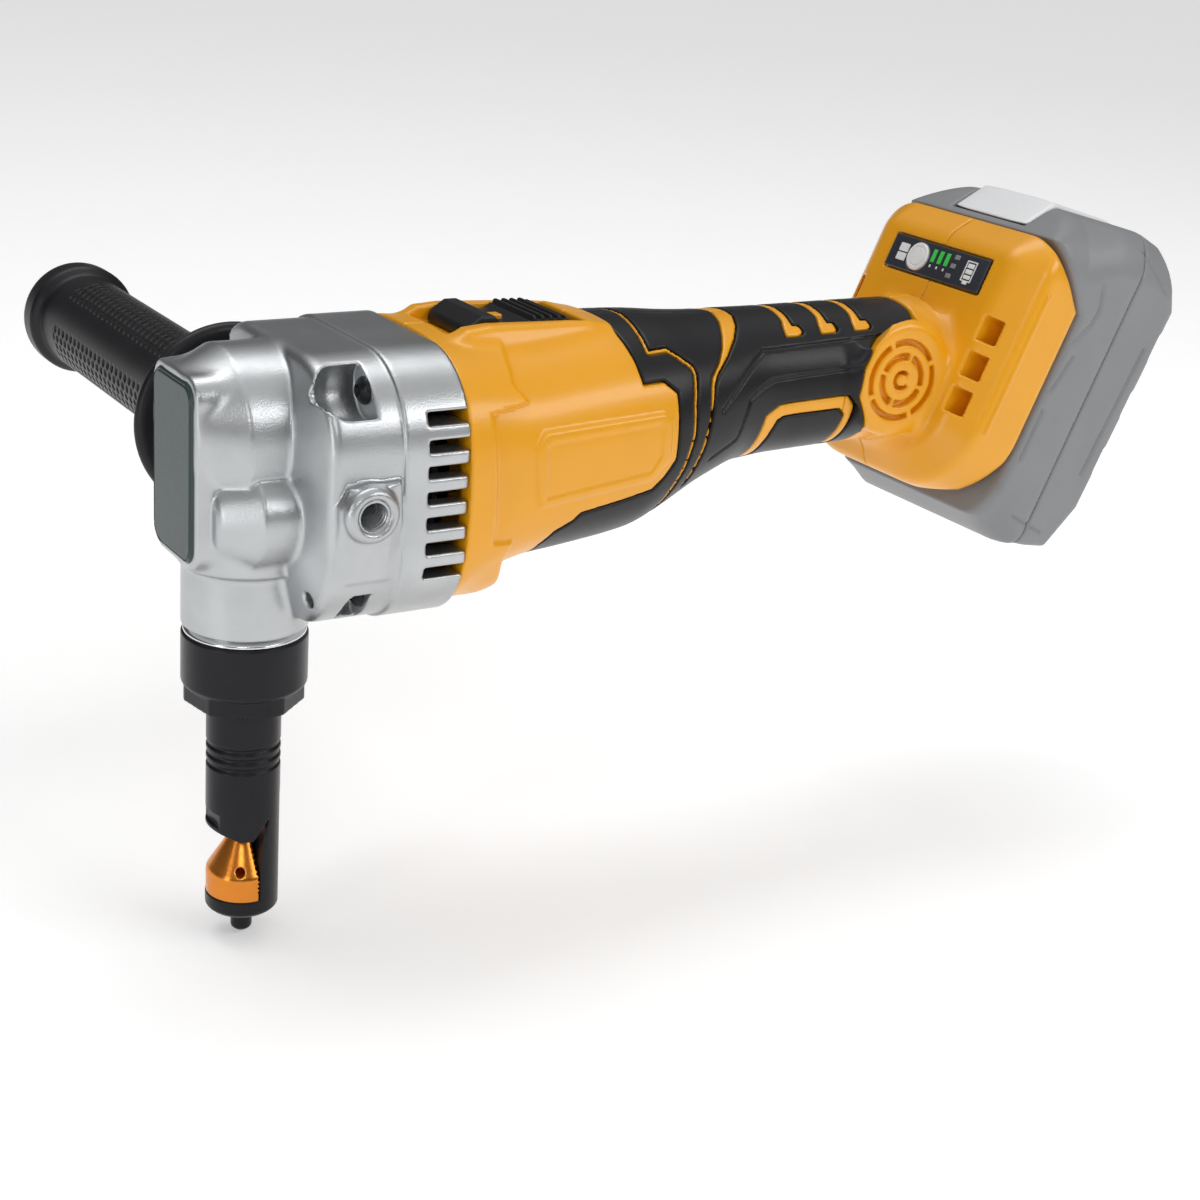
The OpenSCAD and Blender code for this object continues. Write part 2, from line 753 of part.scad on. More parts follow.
module battery_cells() color([0.2, 0.5, 0.75]) in_foot()
  cell_sites() rotate([90, 0, 0]) cylinder(h = 65, r = cell_r, center = true);

module cell_frame() color(black) in_foot() difference() {
  for (y = [-33.6, 29]) block([38, 55], [y, y + 4.6], [-61.5, 20]);
  cell_sites() rotate([90, 0, 0]) cylinder(h = 90, r = cell_r + 0.05, center = true);
}

module battery_board() color(board_green) in_foot() block([31.5, 33.1], [-26, 26], [-52, 10]);

module battery_terminals() color([0.8, 0.62, 0.3]) in_foot()
  for (y = [-9, 0, 9], side = [-1, 1]) translate([0, y + side * 1.1, 0])
    block([14.4, 18.4], [-0.3, 0.3], [-27, -12.4]);

module battery_screws() color(steel) in_foot() pack_screw_sites() {
  translate([0, 0, 36]) cylinder(h = 22, r = 1.25);
  translate([0, 0, 58]) cylinder(h = 2, r = 1.65);
}

gear_case();
front_plate();
gear_case_screws();
bearing_plate();
rotor_front_bearing();
rotor_rear_bearing();
crank_front_bearing();
crank_rear_bearing();
ram_bush();
crankshaft();
crank_gear();
crank_circlips();
yoke_bearing();
ram();
punch();
die_holder();
die();
die_screw();
collar_nut();
nose_ring();
side_handle_core();
side_handle_grip();
side_handle_stud();
handle_washer();
housing_left();
housing_right();
overmould_left();
overmould_right();
shell_screws();
switch_slider();
switch_link();
switch_body();
stator_core();
stator_windings();
stator_insulators();
rotor_shaft();
rotor_core();
rotor_magnets();
pinion();
fan();
motor_bracket();
fan_baffle();
controller_board();
motor_leads();
battery_leads();
terminal_block();
display_panel();
display_board();
display_button();
display_leds();
battery_top_shell();
battery_bottom_shell();
latch_button();
latch_spring();
battery_cells();
cell_frame();
battery_board();
battery_terminals();
battery_screws();
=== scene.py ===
"""Looks of the cordless nibbler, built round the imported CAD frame.

Each visible piece is a signed distance field in millimetres, negative inside, that is meshed on a
fine grid. The origin is the lowest point of the nose, +Z up, +X towards the battery, side handle on +Y.
"""

import functools
import json
import math

import bpy
import numpy as np
from mathutils import Matrix, Vector


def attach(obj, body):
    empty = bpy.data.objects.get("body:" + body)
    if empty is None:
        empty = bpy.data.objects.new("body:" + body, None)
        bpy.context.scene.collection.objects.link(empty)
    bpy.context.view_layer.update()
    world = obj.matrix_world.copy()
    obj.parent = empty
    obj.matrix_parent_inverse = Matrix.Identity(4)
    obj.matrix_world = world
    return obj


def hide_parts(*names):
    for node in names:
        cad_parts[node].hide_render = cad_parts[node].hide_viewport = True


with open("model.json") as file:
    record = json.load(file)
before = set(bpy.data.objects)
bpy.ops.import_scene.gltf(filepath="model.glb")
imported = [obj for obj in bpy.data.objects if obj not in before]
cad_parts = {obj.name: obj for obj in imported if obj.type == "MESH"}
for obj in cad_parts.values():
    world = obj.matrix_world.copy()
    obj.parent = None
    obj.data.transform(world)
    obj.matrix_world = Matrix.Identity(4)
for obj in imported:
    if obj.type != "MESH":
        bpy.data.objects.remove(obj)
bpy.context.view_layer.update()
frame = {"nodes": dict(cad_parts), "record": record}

COARSER = 1.0
MM = 0.001
FAR = 1e9

# ---- Sizes in millimetres, most of them the CAD part's ----
MOTOR_Z = 131
NOSE_Z = 135.2
BULGE_Z = 143
CRANK_Z = 145.45
SCREW_Y = 27
SCREW_Z = (105.5, 158.2)
SEAM_X = 43
HANDLE_X = 15
BOSS_Y = 43
THREAD_PITCH = 1.25
VENT_TOP_Z = 152.2
VENT_PITCH = 6.62
LAST_VENT = 6
SKIN = 1.8
DRUM_AT = (194, 146.3)
GRILLE_AT = (193.5, 146.2)
FOOT_AT = (222, 174.6)
FOOT_TILT = math.radians(23.5)
FOOT_SPLIT_X = 175
SLOT_TOP_S = -13.8
SLOT_PITCH = 11.15
KEY_Y = 8.4
LINK_Z = 158.2
PACK_HALF = 37.5
PACK_SPLIT = 44
LATCH_HALF = 16
LATCH_SPRING_S = 31.6
HALF_GAP = 0.08
SHELL_GAP = 0.12

# Body stations along X: x, centre height, half width, half height, superellipse power
STATIONS = np.array([
    (43, 131.2, 38.3, 34.4, 2.9), (60, 133.4, 36.3, 31.4, 2.5), (70, 134.4, 35.2, 30.6, 2.4),
    (80, 134.9, 33.8, 30.8, 2.35), (96, 135.8, 32, 30.5, 2.3), (106, 136.4, 30.8, 29.9, 2.25),
    (115, 138.2, 29.5, 27.8, 2.2), (126, 140.4, 27, 24.6, 2.15), (135, 141.8, 25, 22.8, 2.1),
    (142, 143, 23, 21.7, 2.1), (148, 143.2, 21.8, 21.5, 2.1), (156, 143.5, 21.2, 21.1, 2.1),
    (185, 143.9, 21.2, 20.7, 2.1), (216, 143.9, 21.2, 20.6, 2.1),
])


# ---- Distance fields ----
def smin(a, b, k):
    """Union of two fields with a fillet about k wide."""
    h = np.maximum(k - np.abs(a - b), 0) / k
    return np.minimum(a, b) - h * h * k / 4


def smax(a, b, k):
    """Intersection of two fields with an edge rounded about k wide."""
    return -smin(-a, -b, k)


def cut(a, b, k=0.6):
    """Field a with b taken away."""
    return smax(a, -b, k)


def rect(u, v, hu, hv, r):
    """Rounded rectangle of half sizes hu and hv about the origin."""
    qu, qv = np.abs(u) - hu + r, np.abs(v) - hv + r
    return np.hypot(np.maximum(qu, 0), np.maximum(qv, 0)) + np.minimum(np.maximum(qu, qv), 0) - r


def between(w, w0, w1):
    """Slab from w0 to w1."""
    return np.maximum(w0 - w, w - w1)


def prism(outline, w, w0, w1, r=0.6):
    """An outline's field extruded from w0 to w1 with edges rounded to r."""
    a, b = outline + r, between(w, w0, w1) + r
    return np.minimum(np.maximum(a, b), 0) + np.hypot(np.maximum(a, 0), np.maximum(b, 0)) - r


def joined(fields):
    """Plain union of several fields."""
    return functools.reduce(np.minimum, fields)


def disc(u, v, r, u0=0, v0=0):
    """Circle of radius r."""
    return np.hypot(u - u0, v - v0) - r


def rod(u, v, w, r, w0, w1, u0=0, v0=0, edge=0.6):
    """Round bar along w."""
    return prism(disc(u, v, r, u0, v0), w, w0, w1, edge)


def path(u, v, points):
    """Distance to an open line."""
    near = np.full(np.shape(u), FAR)
    for (u0, v0), (u1, v1) in zip(points, points[1:]):
        du, dv = u1 - u0, v1 - v0
        t = np.clip(((u - u0) * du + (v - v0) * dv) / (du * du + dv * dv), 0, 1)
        near = np.minimum(near, (u - u0 - du * t) ** 2 + (v - v0 - dv * t) ** 2)
    return np.sqrt(near)


def polygon(u, v, points):
    """Signed distance to a closed outline, by the even-odd rule."""
    points = [*points, points[0]]
    inside = np.zeros(np.shape(u), bool)
    for (u0, v0), (u1, v1) in zip(points, points[1:]):
        du, dv = u1 - u0, v1 - v0
        inside ^= ((v0 > v) != (v1 > v)) & (u - u0 < du * (v - v0) / (dv if dv else 1e-9))
    return np.where(inside, -1, 1) * path(u, v, points)


def ease(t):
    """Smooth step from 0 to 1."""
    t = np.clip(t, 0, 1)
    return t * t * (3 - 2 * t)


def in_foot(x, z):
    """Foot coordinates: n into the foot, s up along its face."""
    dx, dz = x - FOOT_AT[0], z - FOOT_AT[1]
    c, s = math.cos(FOOT_TILT), math.sin(FOOT_TILT)
    return dx * c - dz * s, dx * s + dz * c


def box(x, y, z, xs, ys, zs, r=0.6):
    """Rounded box from its ranges."""
    flat = rect(x - sum(xs) / 2, y - sum(ys) / 2, (xs[1] - xs[0]) / 2, (ys[1] - ys[0]) / 2, r)
    return prism(flat, z, *zs, r)


# ---- Meshing ----
def sample(lo, hi, h, field, size=16):
    """The field on a grid of spacing h, evaluated in full only in blocks that its surface may cross."""
    blocks = [-(-(int(math.ceil((b - a) / h)) + 1) // size) for a, b in zip(lo, hi)]
    half = (size - 1) / 2 * h
    centres = [a + np.arange(n) * size * h + half for a, n in zip(lo, blocks)]
    coarse = field(*(c.ravel() for c in np.meshgrid(*centres, indexing="ij"))).reshape(blocks)
    grid = np.empty([n * size for n in blocks], np.float32)
    view = grid.reshape(blocks[0], size, blocks[1], size, blocks[2], size)
    view[...] = coarse[:, None, :, None, :, None]
    step = np.arange(size) * h
    inner = np.array(np.meshgrid(step, step, step, indexing="ij")).reshape(3, -1)
    reach = math.sqrt(3) * (half + h) * 1.3
    for i, j, k in np.argwhere(np.abs(coarse) < reach):
        at = [a + b * size * h + o for a, b, o in zip(lo, (i, j, k), inner)]
        view[i, :, j, :, k, :] = field(*at).reshape(size, size, size)
    return grid


def pair(axis):
    """Slices for the two ends of every grid edge along an axis."""
    first, second = [slice(None)] * 3, [slice(None)] * 3
    first[axis], second[axis] = slice(0, -1), slice(1, None)
    return tuple(first), tuple(second)


def surface(lo, h, grid):
    """Vertices and quads of the grid's zero surface: one vertex in each cell that it crosses."""
    inside = grid < 0
    cells = [n - 1 for n in grid.shape]
    total = np.zeros((*cells, 4), np.float32)
    for axis in range(3):
        first, second = pair(axis)
        at = np.argwhere(inside[first] != inside[second])
        a, b = grid[first][tuple(at.T)], grid[second][tuple(at.T)]
        point = at.astype(np.float32)
        point[:, axis] += a / (a - b)
        u, v = [i for i in range(3) if i != axis]
        for du in (0, -1):
            for dv in (0, -1):
                cell = at.copy()
                cell[:, u] += du
                cell[:, v] += dv
                ok = ((cell >= 0) & (cell < cells)).all(1)
                np.add.at(total, tuple(cell[ok].T), np.c_[point[ok], np.ones(ok.sum(), np.float32)])
    used = np.argwhere(total[..., 3] > 0)
    number = np.full(total.shape[:3], -1, np.int32)
    number[tuple(used.T)] = np.arange(len(used))
    mean = total[tuple(used.T)]
    quads = []
    for axis in range(3):
        first, second = pair(axis)
        u, v = (axis + 1) % 3, (axis + 2) % 3
        at = np.argwhere(inside[first] != inside[second])
        at = at[(at[:, u] > 0) & (at[:, v] > 0)]
        outward = inside[first][tuple(at.T)]
        corners = []
        for du, dv in ((-1, -1), (0, -1), (0, 0), (-1, 0)):
            cell = at.copy()
            cell[:, u] += du
            cell[:, v] += dv
            corners.append(number[tuple(cell.T)])
        quad = np.array(corners).T
        quad[~outward] = quad[~outward][:, ::-1]
        quads.append(quad)
    return mean[:, :3] / mean[:, 3:] * h + np.array(lo), np.concatenate(quads)


def settle(points, field, h):
    """Moves the vertices onto the field's zero surface."""
    e = h / 4
    for _ in range(2):
        value = field(*points.T)
        slope = np.empty_like(points)
        for axis in range(3):
            ahead, behind = points.copy(), points.copy()
            ahead[:, axis] += e
            behind[:, axis] -= e
            slope[:, axis] = (field(*ahead.T) - field(*behind.T)) / (2 * e)
        move = (value / np.maximum((slope * slope).sum(1), 0.3))[:, None] * slope
        length = np.linalg.norm(move, axis=1, keepdims=True)
        points = points - move * np.minimum(1, 0.5 * h / np.maximum(length, 1e-9))
    return points


def solid(name, lo, hi, h, field, body, material, nodes=()):
    """Meshes a field as one smooth piece that rides on a body and stands for CAD nodes."""
    h = h * COARSER
    lo = [a - 2 * h for a in lo]
    hi = [b + 2 * h for b in hi]
    points, quads = surface(lo, h, sample(lo, hi, h, field))
    points = settle(points, field, h) * MM
    mesh = bpy.data.meshes.new(name)
    mesh.vertices.add(len(points))
    mesh.vertices.foreach_set("co", points.astype(np.float32).ravel())
    mesh.loops.add(quads.size)
    mesh.loops.foreach_set("vertex_index", quads.ravel().astype(np.int32))
    mesh.polygons.add(len(quads))
    mesh.polygons.foreach_set("loop_start", np.arange(len(quads), dtype=np.int32) * 4)
    mesh.update()
    mesh.shade_smooth()
    made = bpy.data.objects.new(name, mesh)
    bpy.context.scene.collection.objects.link(made)
    mesh.materials.append(MATERIALS[material])
    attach(made, body)
    if nodes:
        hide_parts(*nodes)
    print(name, len(quads))


# ---- Materials ----
def finish(slot, colour, rough, metallic=0.0, grain=600.0, bump=0.02, shade=0.12, coat=0.0, mottle=60.0):
    """A procedural finish: mottled colour, uneven roughness and a fine grained surface."""
    material = bpy.data.materials.new(slot)
    material.use_nodes = True
    nodes, links = material.node_tree.nodes, material.node_tree.links
    shader = nodes["Principled BSDF"]
    shader.inputs["Metallic"].default_value = metallic
    shader.inputs["Specular IOR Level"].default_value = 0.3 if max(colour) < 0.02 else 0.5
    shader.inputs["Coat Weight"].default_value = coat
    shader.inputs["Coat Roughness"].default_value = 0.12
    place = nodes.new("ShaderNodeTexCoord").outputs["Object"]

    def noise(scale, detail):
        node = nodes.new("ShaderNodeTexNoise")
        node.inputs["Scale"].default_value = scale
        node.inputs["Detail"].default_value = detail
        links.new(place, node.inputs["Vector"])
        return node.outputs["Fac"]

    broad, fine = noise(mottle, 3), noise(grain, 2)
    ramp = nodes.new("ShaderNodeValToRGB")
    ramp.color_ramp.elements[0].position = 0.3
    ramp.color_ramp.elements[1].position = 0.7
    ramp.color_ramp.elements[0].color = (*[c * (1 - shade) for c in colour], 1)
    ramp.color_ramp.elements[1].color = (*[min(1, c * (1 + shade * 0.4)) for c in colour], 1)
    links.new(broad, ramp.inputs["Fac"])
    links.new(ramp.outputs["Color"], shader.inputs["Base Color"])
    spread = nodes.new("ShaderNodeMapRange")
    spread.inputs["To Min"].default_value = max(0.04, rough - 0.06)
    spread.inputs["To Max"].default_value = min(1, rough + 0.06)
    links.new(fine, spread.inputs["Value"])
    links.new(spread.outputs["Result"], shader.inputs["Roughness"])
    relief = nodes.new("ShaderNodeBump")
    relief.inputs["Strength"].default_value = bump
    relief.inputs["Distance"].default_value = 0.0004
    links.new(fine, relief.inputs["Height"])
    links.new(relief.outputs["Normal"], shader.inputs["Normal"])
    return material


MATERIALS = {
    "cast_alloy": finish("cast_alloy", (0.5, 0.515, 0.525), 0.33, 0.95, 2600, 0.16, 0.1),
    "dark_plate": finish("dark_plate", (0.032, 0.055, 0.052), 0.34, 0.25, 900, 0.1),
    "black_steel": finish("black_steel", (0.014, 0.014, 0.017), 0.3, 0.4, 1200, 0.05, 0.2),
    "bright_steel": finish("bright_steel", (0.78, 0.79, 0.8), 0.16, 1.0, 900, 0.03),
    "bearing_steel": finish("bearing_steel", (0.5, 0.51, 0.53), 0.24, 1.0, 900, 0.04),
    "bronze": finish("bronze", (0.52, 0.34, 0.12), 0.38, 0.9, 900, 0.1),
    "copper_coat": finish("copper_coat", (0.8, 0.27, 0.035), 0.24, 0.85, 900, 0.05, 0.15),
    "copper_wire": finish("copper_wire", (0.5, 0.17, 0.04), 0.35, 0.8, 500, 0.2),
    "orange_plastic": finish("orange_plastic", (0.83, 0.36, 0.003), 0.33, 0.0, 1400, 0.04, 0.03, 0.15),
    "black_rubber": finish("black_rubber", (0.009, 0.009, 0.011), 0.36, 0.0, 1500, 0.05, 0.2),
    "black_plastic": finish("black_plastic", (0.01, 0.01, 0.012), 0.34, 0.0, 1200, 0.06, 0.2),
    "nylon": finish("nylon", (0.03, 0.03, 0.033), 0.5, 0.0, 700, 0.15, 0.2),
    "cream_plastic": finish("cream_plastic", (0.75, 0.72, 0.6), 0.45),
    "lamination": finish("lamination", (0.12, 0.12, 0.13), 0.45, 0.7, 400, 0.2),
    "magnet": finish("magnet", (0.25, 0.26, 0.29), 0.3, 0.9),
    "circuit_board": finish("circuit_board", (0.012, 0.1, 0.03), 0.3, 0.0, 500, 0.05, 0.2, 0.3),
    "blue_wire": finish("blue_wire", (0.02, 0.06, 0.32), 0.4),
    "red_wire": finish("red_wire", (0.42, 0.015, 0.012), 0.4),
    "display_film": finish("display_film", (0.03, 0.034, 0.045), 0.25, 0.0, 900, 0.02, 0.1, 0.3),
    "white_plastic": finish("white_plastic", (0.8, 0.81, 0.82), 0.35, 0.0, 1200, 0.03, 0.03),
    "green_led": finish("green_led", (0.05, 0.62, 0.08), 0.3, 0.0, 900, 0.02, 0.05),
    "pack_grey": finish("pack_grey", (0.235, 0.24, 0.25), 0.45, 0.0, 1500, 0.1, 0.06),
    "cell_wrap": finish("cell_wrap", (0.03, 0.16, 0.42), 0.3),
    "terminal": finish("terminal", (0.62, 0.42, 0.12), 0.28, 1.0),
}

for row in frame["record"]["subparts"]:
    node = frame["nodes"][row["node"]]
    node.data.materials.clear()
    node.data.materials.append(MATERIALS[row["material_slot"]])


# ---- Gear head ----
def scoop(x, y, z, zc, r, back, straight, taper):
    """Half-round pocket along X with a flat rear wall and a tapering front end."""
    inner = np.sqrt(np.clip(1 - (np.maximum(back - straight - x, 0) / taper) ** 2, 0, 1))
    return smax((disc(y, z, 0, 29.5, zc) - r * inner) * 0.9, x - back, 0.5)


def vents(x, y, z):
    """Slots in the flange that stay open towards the housing."""
    row = np.clip(np.round((VENT_TOP_Z - z) / VENT_PITCH), 0, LAST_VENT)
    slot = rect(x - 40.6, z - VENT_TOP_Z + row * VENT_PITCH, 9, 1.6, 0.5)
    return np.maximum(slot, 20 - y)


BOSS_PAD = [(7.4, 132.6), (9.6, 137.6), (24, 138.2), (26, 112), (10.5, 112), (7.4, 120)]
# Round rooms along X: radius, start, end, height
DRIVE_ROOMS = [(11, 6, 15, CRANK_Z), (12.6, 14, 27, CRANK_Z), (8, 14, 27, MOTOR_Z), (33, 26, 34, MOTOR_Z),
               (33.5, 33, 50, MOTOR_Z)]


def head_outside(x, y, z):
    """Outer shape of the gear head without its bosses."""
    a = np.abs(y)
    # Tall nose block behind the front plate
    nose = rect(y, z - NOSE_Z, 14.5, 24.7, 6)
    nose = prism(nose - np.clip(x + 19.3, 0, 30) * 0.07, x, -19.3, 10, 1.0)
    # Upper bulge: a cone behind the nose, then a cylinder up to the block
    ahead = np.clip(-8 - x, 0, 12)
    upper = np.hypot(y, z - BULGE_Z - ahead * 0.18) - 22 + ahead * 0.66
    upper = smax(upper * 0.88, -19.0 - x, 1.2)
    # Lower bulge on each side
    ahead = np.clip(-6 - x, 0, 12)
    lower = np.hypot(a - 13.7 + ahead * 0.5, z - 124.6 + ahead * 0.05) - 12.9 + ahead * 0.42
    lower = smax(lower * 0.9, -15.4 - x, 1.6)
    head = smin(smin(upper, nose, 1.2), lower, 1.0)
    head = smax(head, x - 20, 1)
    # Skirt over the spindle
    skirt = prism(disc(x, y, 19.0) - (z - 109) * 0.12, z, 108.8, 121, 1.2)
    head = smin(head, smax(skirt, -17.5 - x, 2), 1.8)
    # Block, flange and spindle
    square = rect(y, z - MOTOR_Z, 37.4, 34.6, 22)
    slope = ((6.3 + square * 0.26) - x) * 0.96
    block = smax(smax(square, slope, 2.6), x - 30, 1)
    flange = prism(rect(y, z - MOTOR_Z, 38.3, 35.3, 22.5), x, 25, SEAM_X - 0.05, 0.5)
    case = smin(smin(head, block, 1.0), flange, 0.4)
    spindle = prism(disc(x, y, 16.5), z, 91.2, 112, 0.6)
    web = prism(rect(x - 12, y, 12, 8, 7), z, 97, 110, 3)
    case = smin(smin(case, spindle, 2.5), web, 4)
    return smin(case, prism(disc(x, y, 14), z, 76, 93, 0.4), 0.3)


def head_rooms(x, y, z):
    """Bores and rooms for the drive, the spindle, the side handle and the four screws."""
    a = np.abs(y)
    mouth = disc(x, z, 4.9, HANDLE_X, MOTOR_Z) - (a - BOSS_Y) * 0.8
    yoke_room = box(x, y, z, (-6.6, 7), (-13.2, 13.2), (116, 162.3), 0.2)
    return joined([
        np.maximum(disc(x, z, 4.05, HANDLE_X, MOTOR_Z), 28 - a),
        smax(mouth, 42 - a, 0.3),
        rod(x, y, z, 8.5, 80, 117, edge=0.1),
        rod(x, y, z, 11.1, 70, 82, edge=0.1),
        np.maximum(yoke_room, np.hypot(y, z - BULGE_Z) - 20.4),
        *(rod(y, z, x, r, x0, x1, 0, zc, 0.1) for r, x0, x1, zc in DRIVE_ROOMS),
        *(np.maximum(disc(a, z, 2.05, SCREW_Y, zc), -x) for zc in SCREW_Z),
    ])


def gear_case(x, y, z):
    """Gear head with its side-handle bosses on their raised pads, pockets, vents and bores."""
    a = np.abs(y)
    fade = np.maximum(x - 21, 0) * 0.35 + np.maximum(127 - z, 0) * 0.2 + np.maximum(11 - x, 0) * 0.25
    pad = smax(polygon(x, z, BOSS_PAD), a - 40 + fade, 0.9)
    boss = smax(disc(x, z, 7.25, HANDLE_X, MOTOR_Z), a - BOSS_Y, 0.3)
    boss = smax(boss, disc(x, z, 5.9, HANDLE_X, MOTOR_Z) * 0.7 + (a - BOSS_Y) * 0.7, 0.5)
    case = smin(smin(head_outside(x, y, z), smax(pad, 30 - a, 1), 0.8), smax(boss, 28 - a, 1), 1.2)
    case = cut(case, scoop(x, a, z, 159.2, 8.0, 18.7, 6.5, 7.0), 0.6)
    case = cut(case, scoop(x, a, z, 103.6, 6.6, 18.7, 4.5, 2.4), 0.6)
    case = cut(case, vents(x, a, z), 0.6)
    return cut(case, head_rooms(x, y, z), 0.4)


solid("gear_case_cast", (-19.4, -43.2, 75.8), (43.2, 43.2, 167), 0.6, gear_case, "tool_body", "cast_alloy",
      ["gear_case"])


def plate(x, y, z):
    """Front plate with a fine groove round its edge."""
    outline = rect(y, z - NOSE_Z, 13.1, 23.5, 5.2)
    shape = prism(outline + np.clip(-18.9 - x, 0, 1) * 0.8, x, -20.1, -18.4, 0.3)
    return cut(shape, np.abs(outline + 1.3) - 0.2 + np.clip(x + 19.9, 0, 1), 0.2)


def case_screws(x, y, z):
    """Low round heads with a socket, in the four pockets."""
    low, high = SCREW_Z
    radius = np.hypot(np.abs(y) - SCREW_Y, np.where(z > MOTOR_Z, z - high, z - low))
    head = smax(prism(radius - 3.6, x, 16.4, 18.9, 0.3), (radius - 2.2) * 0.6 + (17.0 - x) * 0.8, 0.6)
    head = cut(head, np.maximum(radius - 1.5, x - 17.6), 0.25)
    return np.minimum(head, prism(radius - 2, x, 18, 49, 0.2))


solid("front_plate_cover", (-20.2, -15, 108), (-18.2, 15, 160), 0.3, plate, "tool_body", "dark_plate",
      ["front_plate"])
solid("case_screw_heads", (16, -31, 101), (49.4, 31, 162.2), 0.45, case_screws, "tool_body", "black_steel",
      ["gear_case_screws"])


def handle_thread(x, y, z):
    """Thread of the free side-handle hole."""
    angle = np.arctan2(z - MOTOR_Z, x - HANDLE_X)
    turn = (y / THREAD_PITCH + angle / (2 * math.pi)) % 1
    crest = 3.45 + 0.5 * np.abs(2 * turn - 1)
    radius = np.hypot(x - HANDLE_X, z - MOTOR_Z)
    return np.maximum(np.maximum(radius - 4.25, crest - radius), between(y, -42.3, -29))


solid("handle_thread", (10.5, -42.4, 126.5), (19.5, -28.9, 135.5), 0.2, handle_thread, "tool_body",
      "cast_alloy")


# ---- Housing ----
# The stations' values every half millimetre, smoothed over about 12 mm; WIDER_X adds the smoothing's reach
FINE_X = np.arange(30, 226, 0.5)
WIDER_X = np.arange(24.5, 231.4, 0.5)
SPAN = np.hanning(25)[1:-1] / np.hanning(25).sum()
FINE = [
    np.convolve(np.interp(WIDER_X, STATIONS[:, 0], STATIONS[:, i]), SPAN, "valid")[:len(FINE_X)] for i in range(1, 5)
]
# Millimetres that stand for one degree where the skin is laid flat
DEGREE = 0.37


def barrel(x, y, z):
    """Distance to the body's skin and the angle round it from the top, in degrees."""
    zc, wide, high, power = (np.interp(x, FINE_X, values) for values in FINE)
    dz = z - zc
    radius = np.hypot(y, dz)
    g = ((np.abs(y) / wide) ** power + (np.abs(dz) / high) ** power) ** (1 / power)
    return radius * (1 - 1 / np.maximum(g, 1e-3)), np.degrees(np.arctan2(np.abs(y), dz))


def unrolled(points):
    """Outline points given as x and the angle from the top."""
    return [(x, angle * DEGREE) for x, angle in points]


BLACK_ZONE = unrolled([
    (99.5, -9), (99, 22), (99.5, 36), (100.5, 57.5), (107.5, 57.5), (111.5, 65), (111.5, 100), (108, 108),
    (104.5, 113), (94, 114), (81, 114.5), (79, 118), (74, 122), (71.5, 130), (70, 190), (186, 190), (185.5, 128),
    (183, 117), (178.5, 94), (179.5, 74), (182.5, 60), (189, 48), (203.5, 43), (205.5, 25), (205.5, -9),
])
ACCENT_LINE = unrolled([
    (108.5, -3), (106.5, 22), (105.5, 41), (112, 41), (118.5, 54), (119, 58), (117.5, 75), (117.5, 91),
    (115.5, 108), (113, 122), (111, 140),
])
ACCENT_BAND = unrolled([
    (140, -3), (137.5, 19), (134.5, 35), (132, 46), (129, 55), (125, 63), (124, 69), (123, 87), (121, 104),
    (118, 125), (119, 125), (122.5, 102), (124, 84), (125.5, 68), (127, 63), (133, 52), (138, 40), (141.5, 28),
    (144, 13), (144.5, -3),
])
TOP_MARKS = [
    unrolled([(x, -3), (x + 2.5, -3), (x + 1.6, 22), (x + 1.2, 31), (x + 3.2, 31.5), (x + 3.6, 39), (x + 2, 42),
              (x - 3, 42), (x - 2.4, 33), (x - 1, 23)])
    for x in (159.6, 172.2, 184.4)
]
LOOP_OUTER = unrolled([(145.5, 152), (146, 116), (146.5, 101), (151.5, 94), (176, 93), (179, 102), (179, 152)])
LOOP_INNER = unrolled([(149.2, 160), (149.6, 128), (150.5, 115), (151.5, 107), (153.5, 104.5), (173.5, 104),
                       (176, 110), (176, 160)])
GRIP_LINES = [
    unrolled([(128, 84), (135.5, 71), (146.5, 52), (190, 49)]),
    unrolled([(126, 114), (135.5, 109), (137, 96), (139, 84), (148, 74), (186, 71)]),
]
PANEL_OUTER = [(62.8, 141.6), (66.2, 145.8), (106, 146.2), (108.9, 144.7), (109.1, 132.7), (103.6, 127.1),
               (65.4, 124.7), (63.9, 129.8)]
PANEL_INNER = [(66.9, 141.2), (68.2, 142.4), (104.5, 143.2), (105.5, 142), (105.5, 134.3), (102.4, 129.8),
               (67.5, 127.6)]

# Where the collar ends: angles from the top in degrees, then x
COLLAR_END = ([0, 29, 51, 59, 61, 112, 116, 150, 180], [65, 63.5, 60.5, 63.5, 51.5, 53, 60, 57, 55])


def accents(x, v):
    """Orange areas inside the black skin."""
    line = path(x, v, ACCENT_LINE) - 0.55
    loop = np.maximum(polygon(x, v, LOOP_OUTER), -polygon(x, v, LOOP_INNER))
    return joined([line, loop, *(polygon(x, v, outline) for outline in (ACCENT_BAND, *TOP_MARKS))])


def collar(x, angle):
    """Height of the thicker band next to the gear case."""
    end = np.interp(angle, *COLLAR_END)
    lip = 4.0 * ease((x - SEAM_X) / 16) * ease((angle - 122) / 26)
    return (1.4 + lip) * ease((end + lip * 1.8 - x) / (2.2 + lip * 0.6))


def side_panel(x, y, z):
    """Height of the raised panel on each side, with its sunk middle."""
    outer = polygon(x, z, PANEL_OUTER)
    inner = polygon(x, z, PANEL_INNER)
    raised = 0.75 * ease(-outer / 1.6 + 0.2)
    sunk = 0.45 * ease(-inner / 0.8 + 0.5)
    return (raised - sunk) * (np.abs(y) > 15)


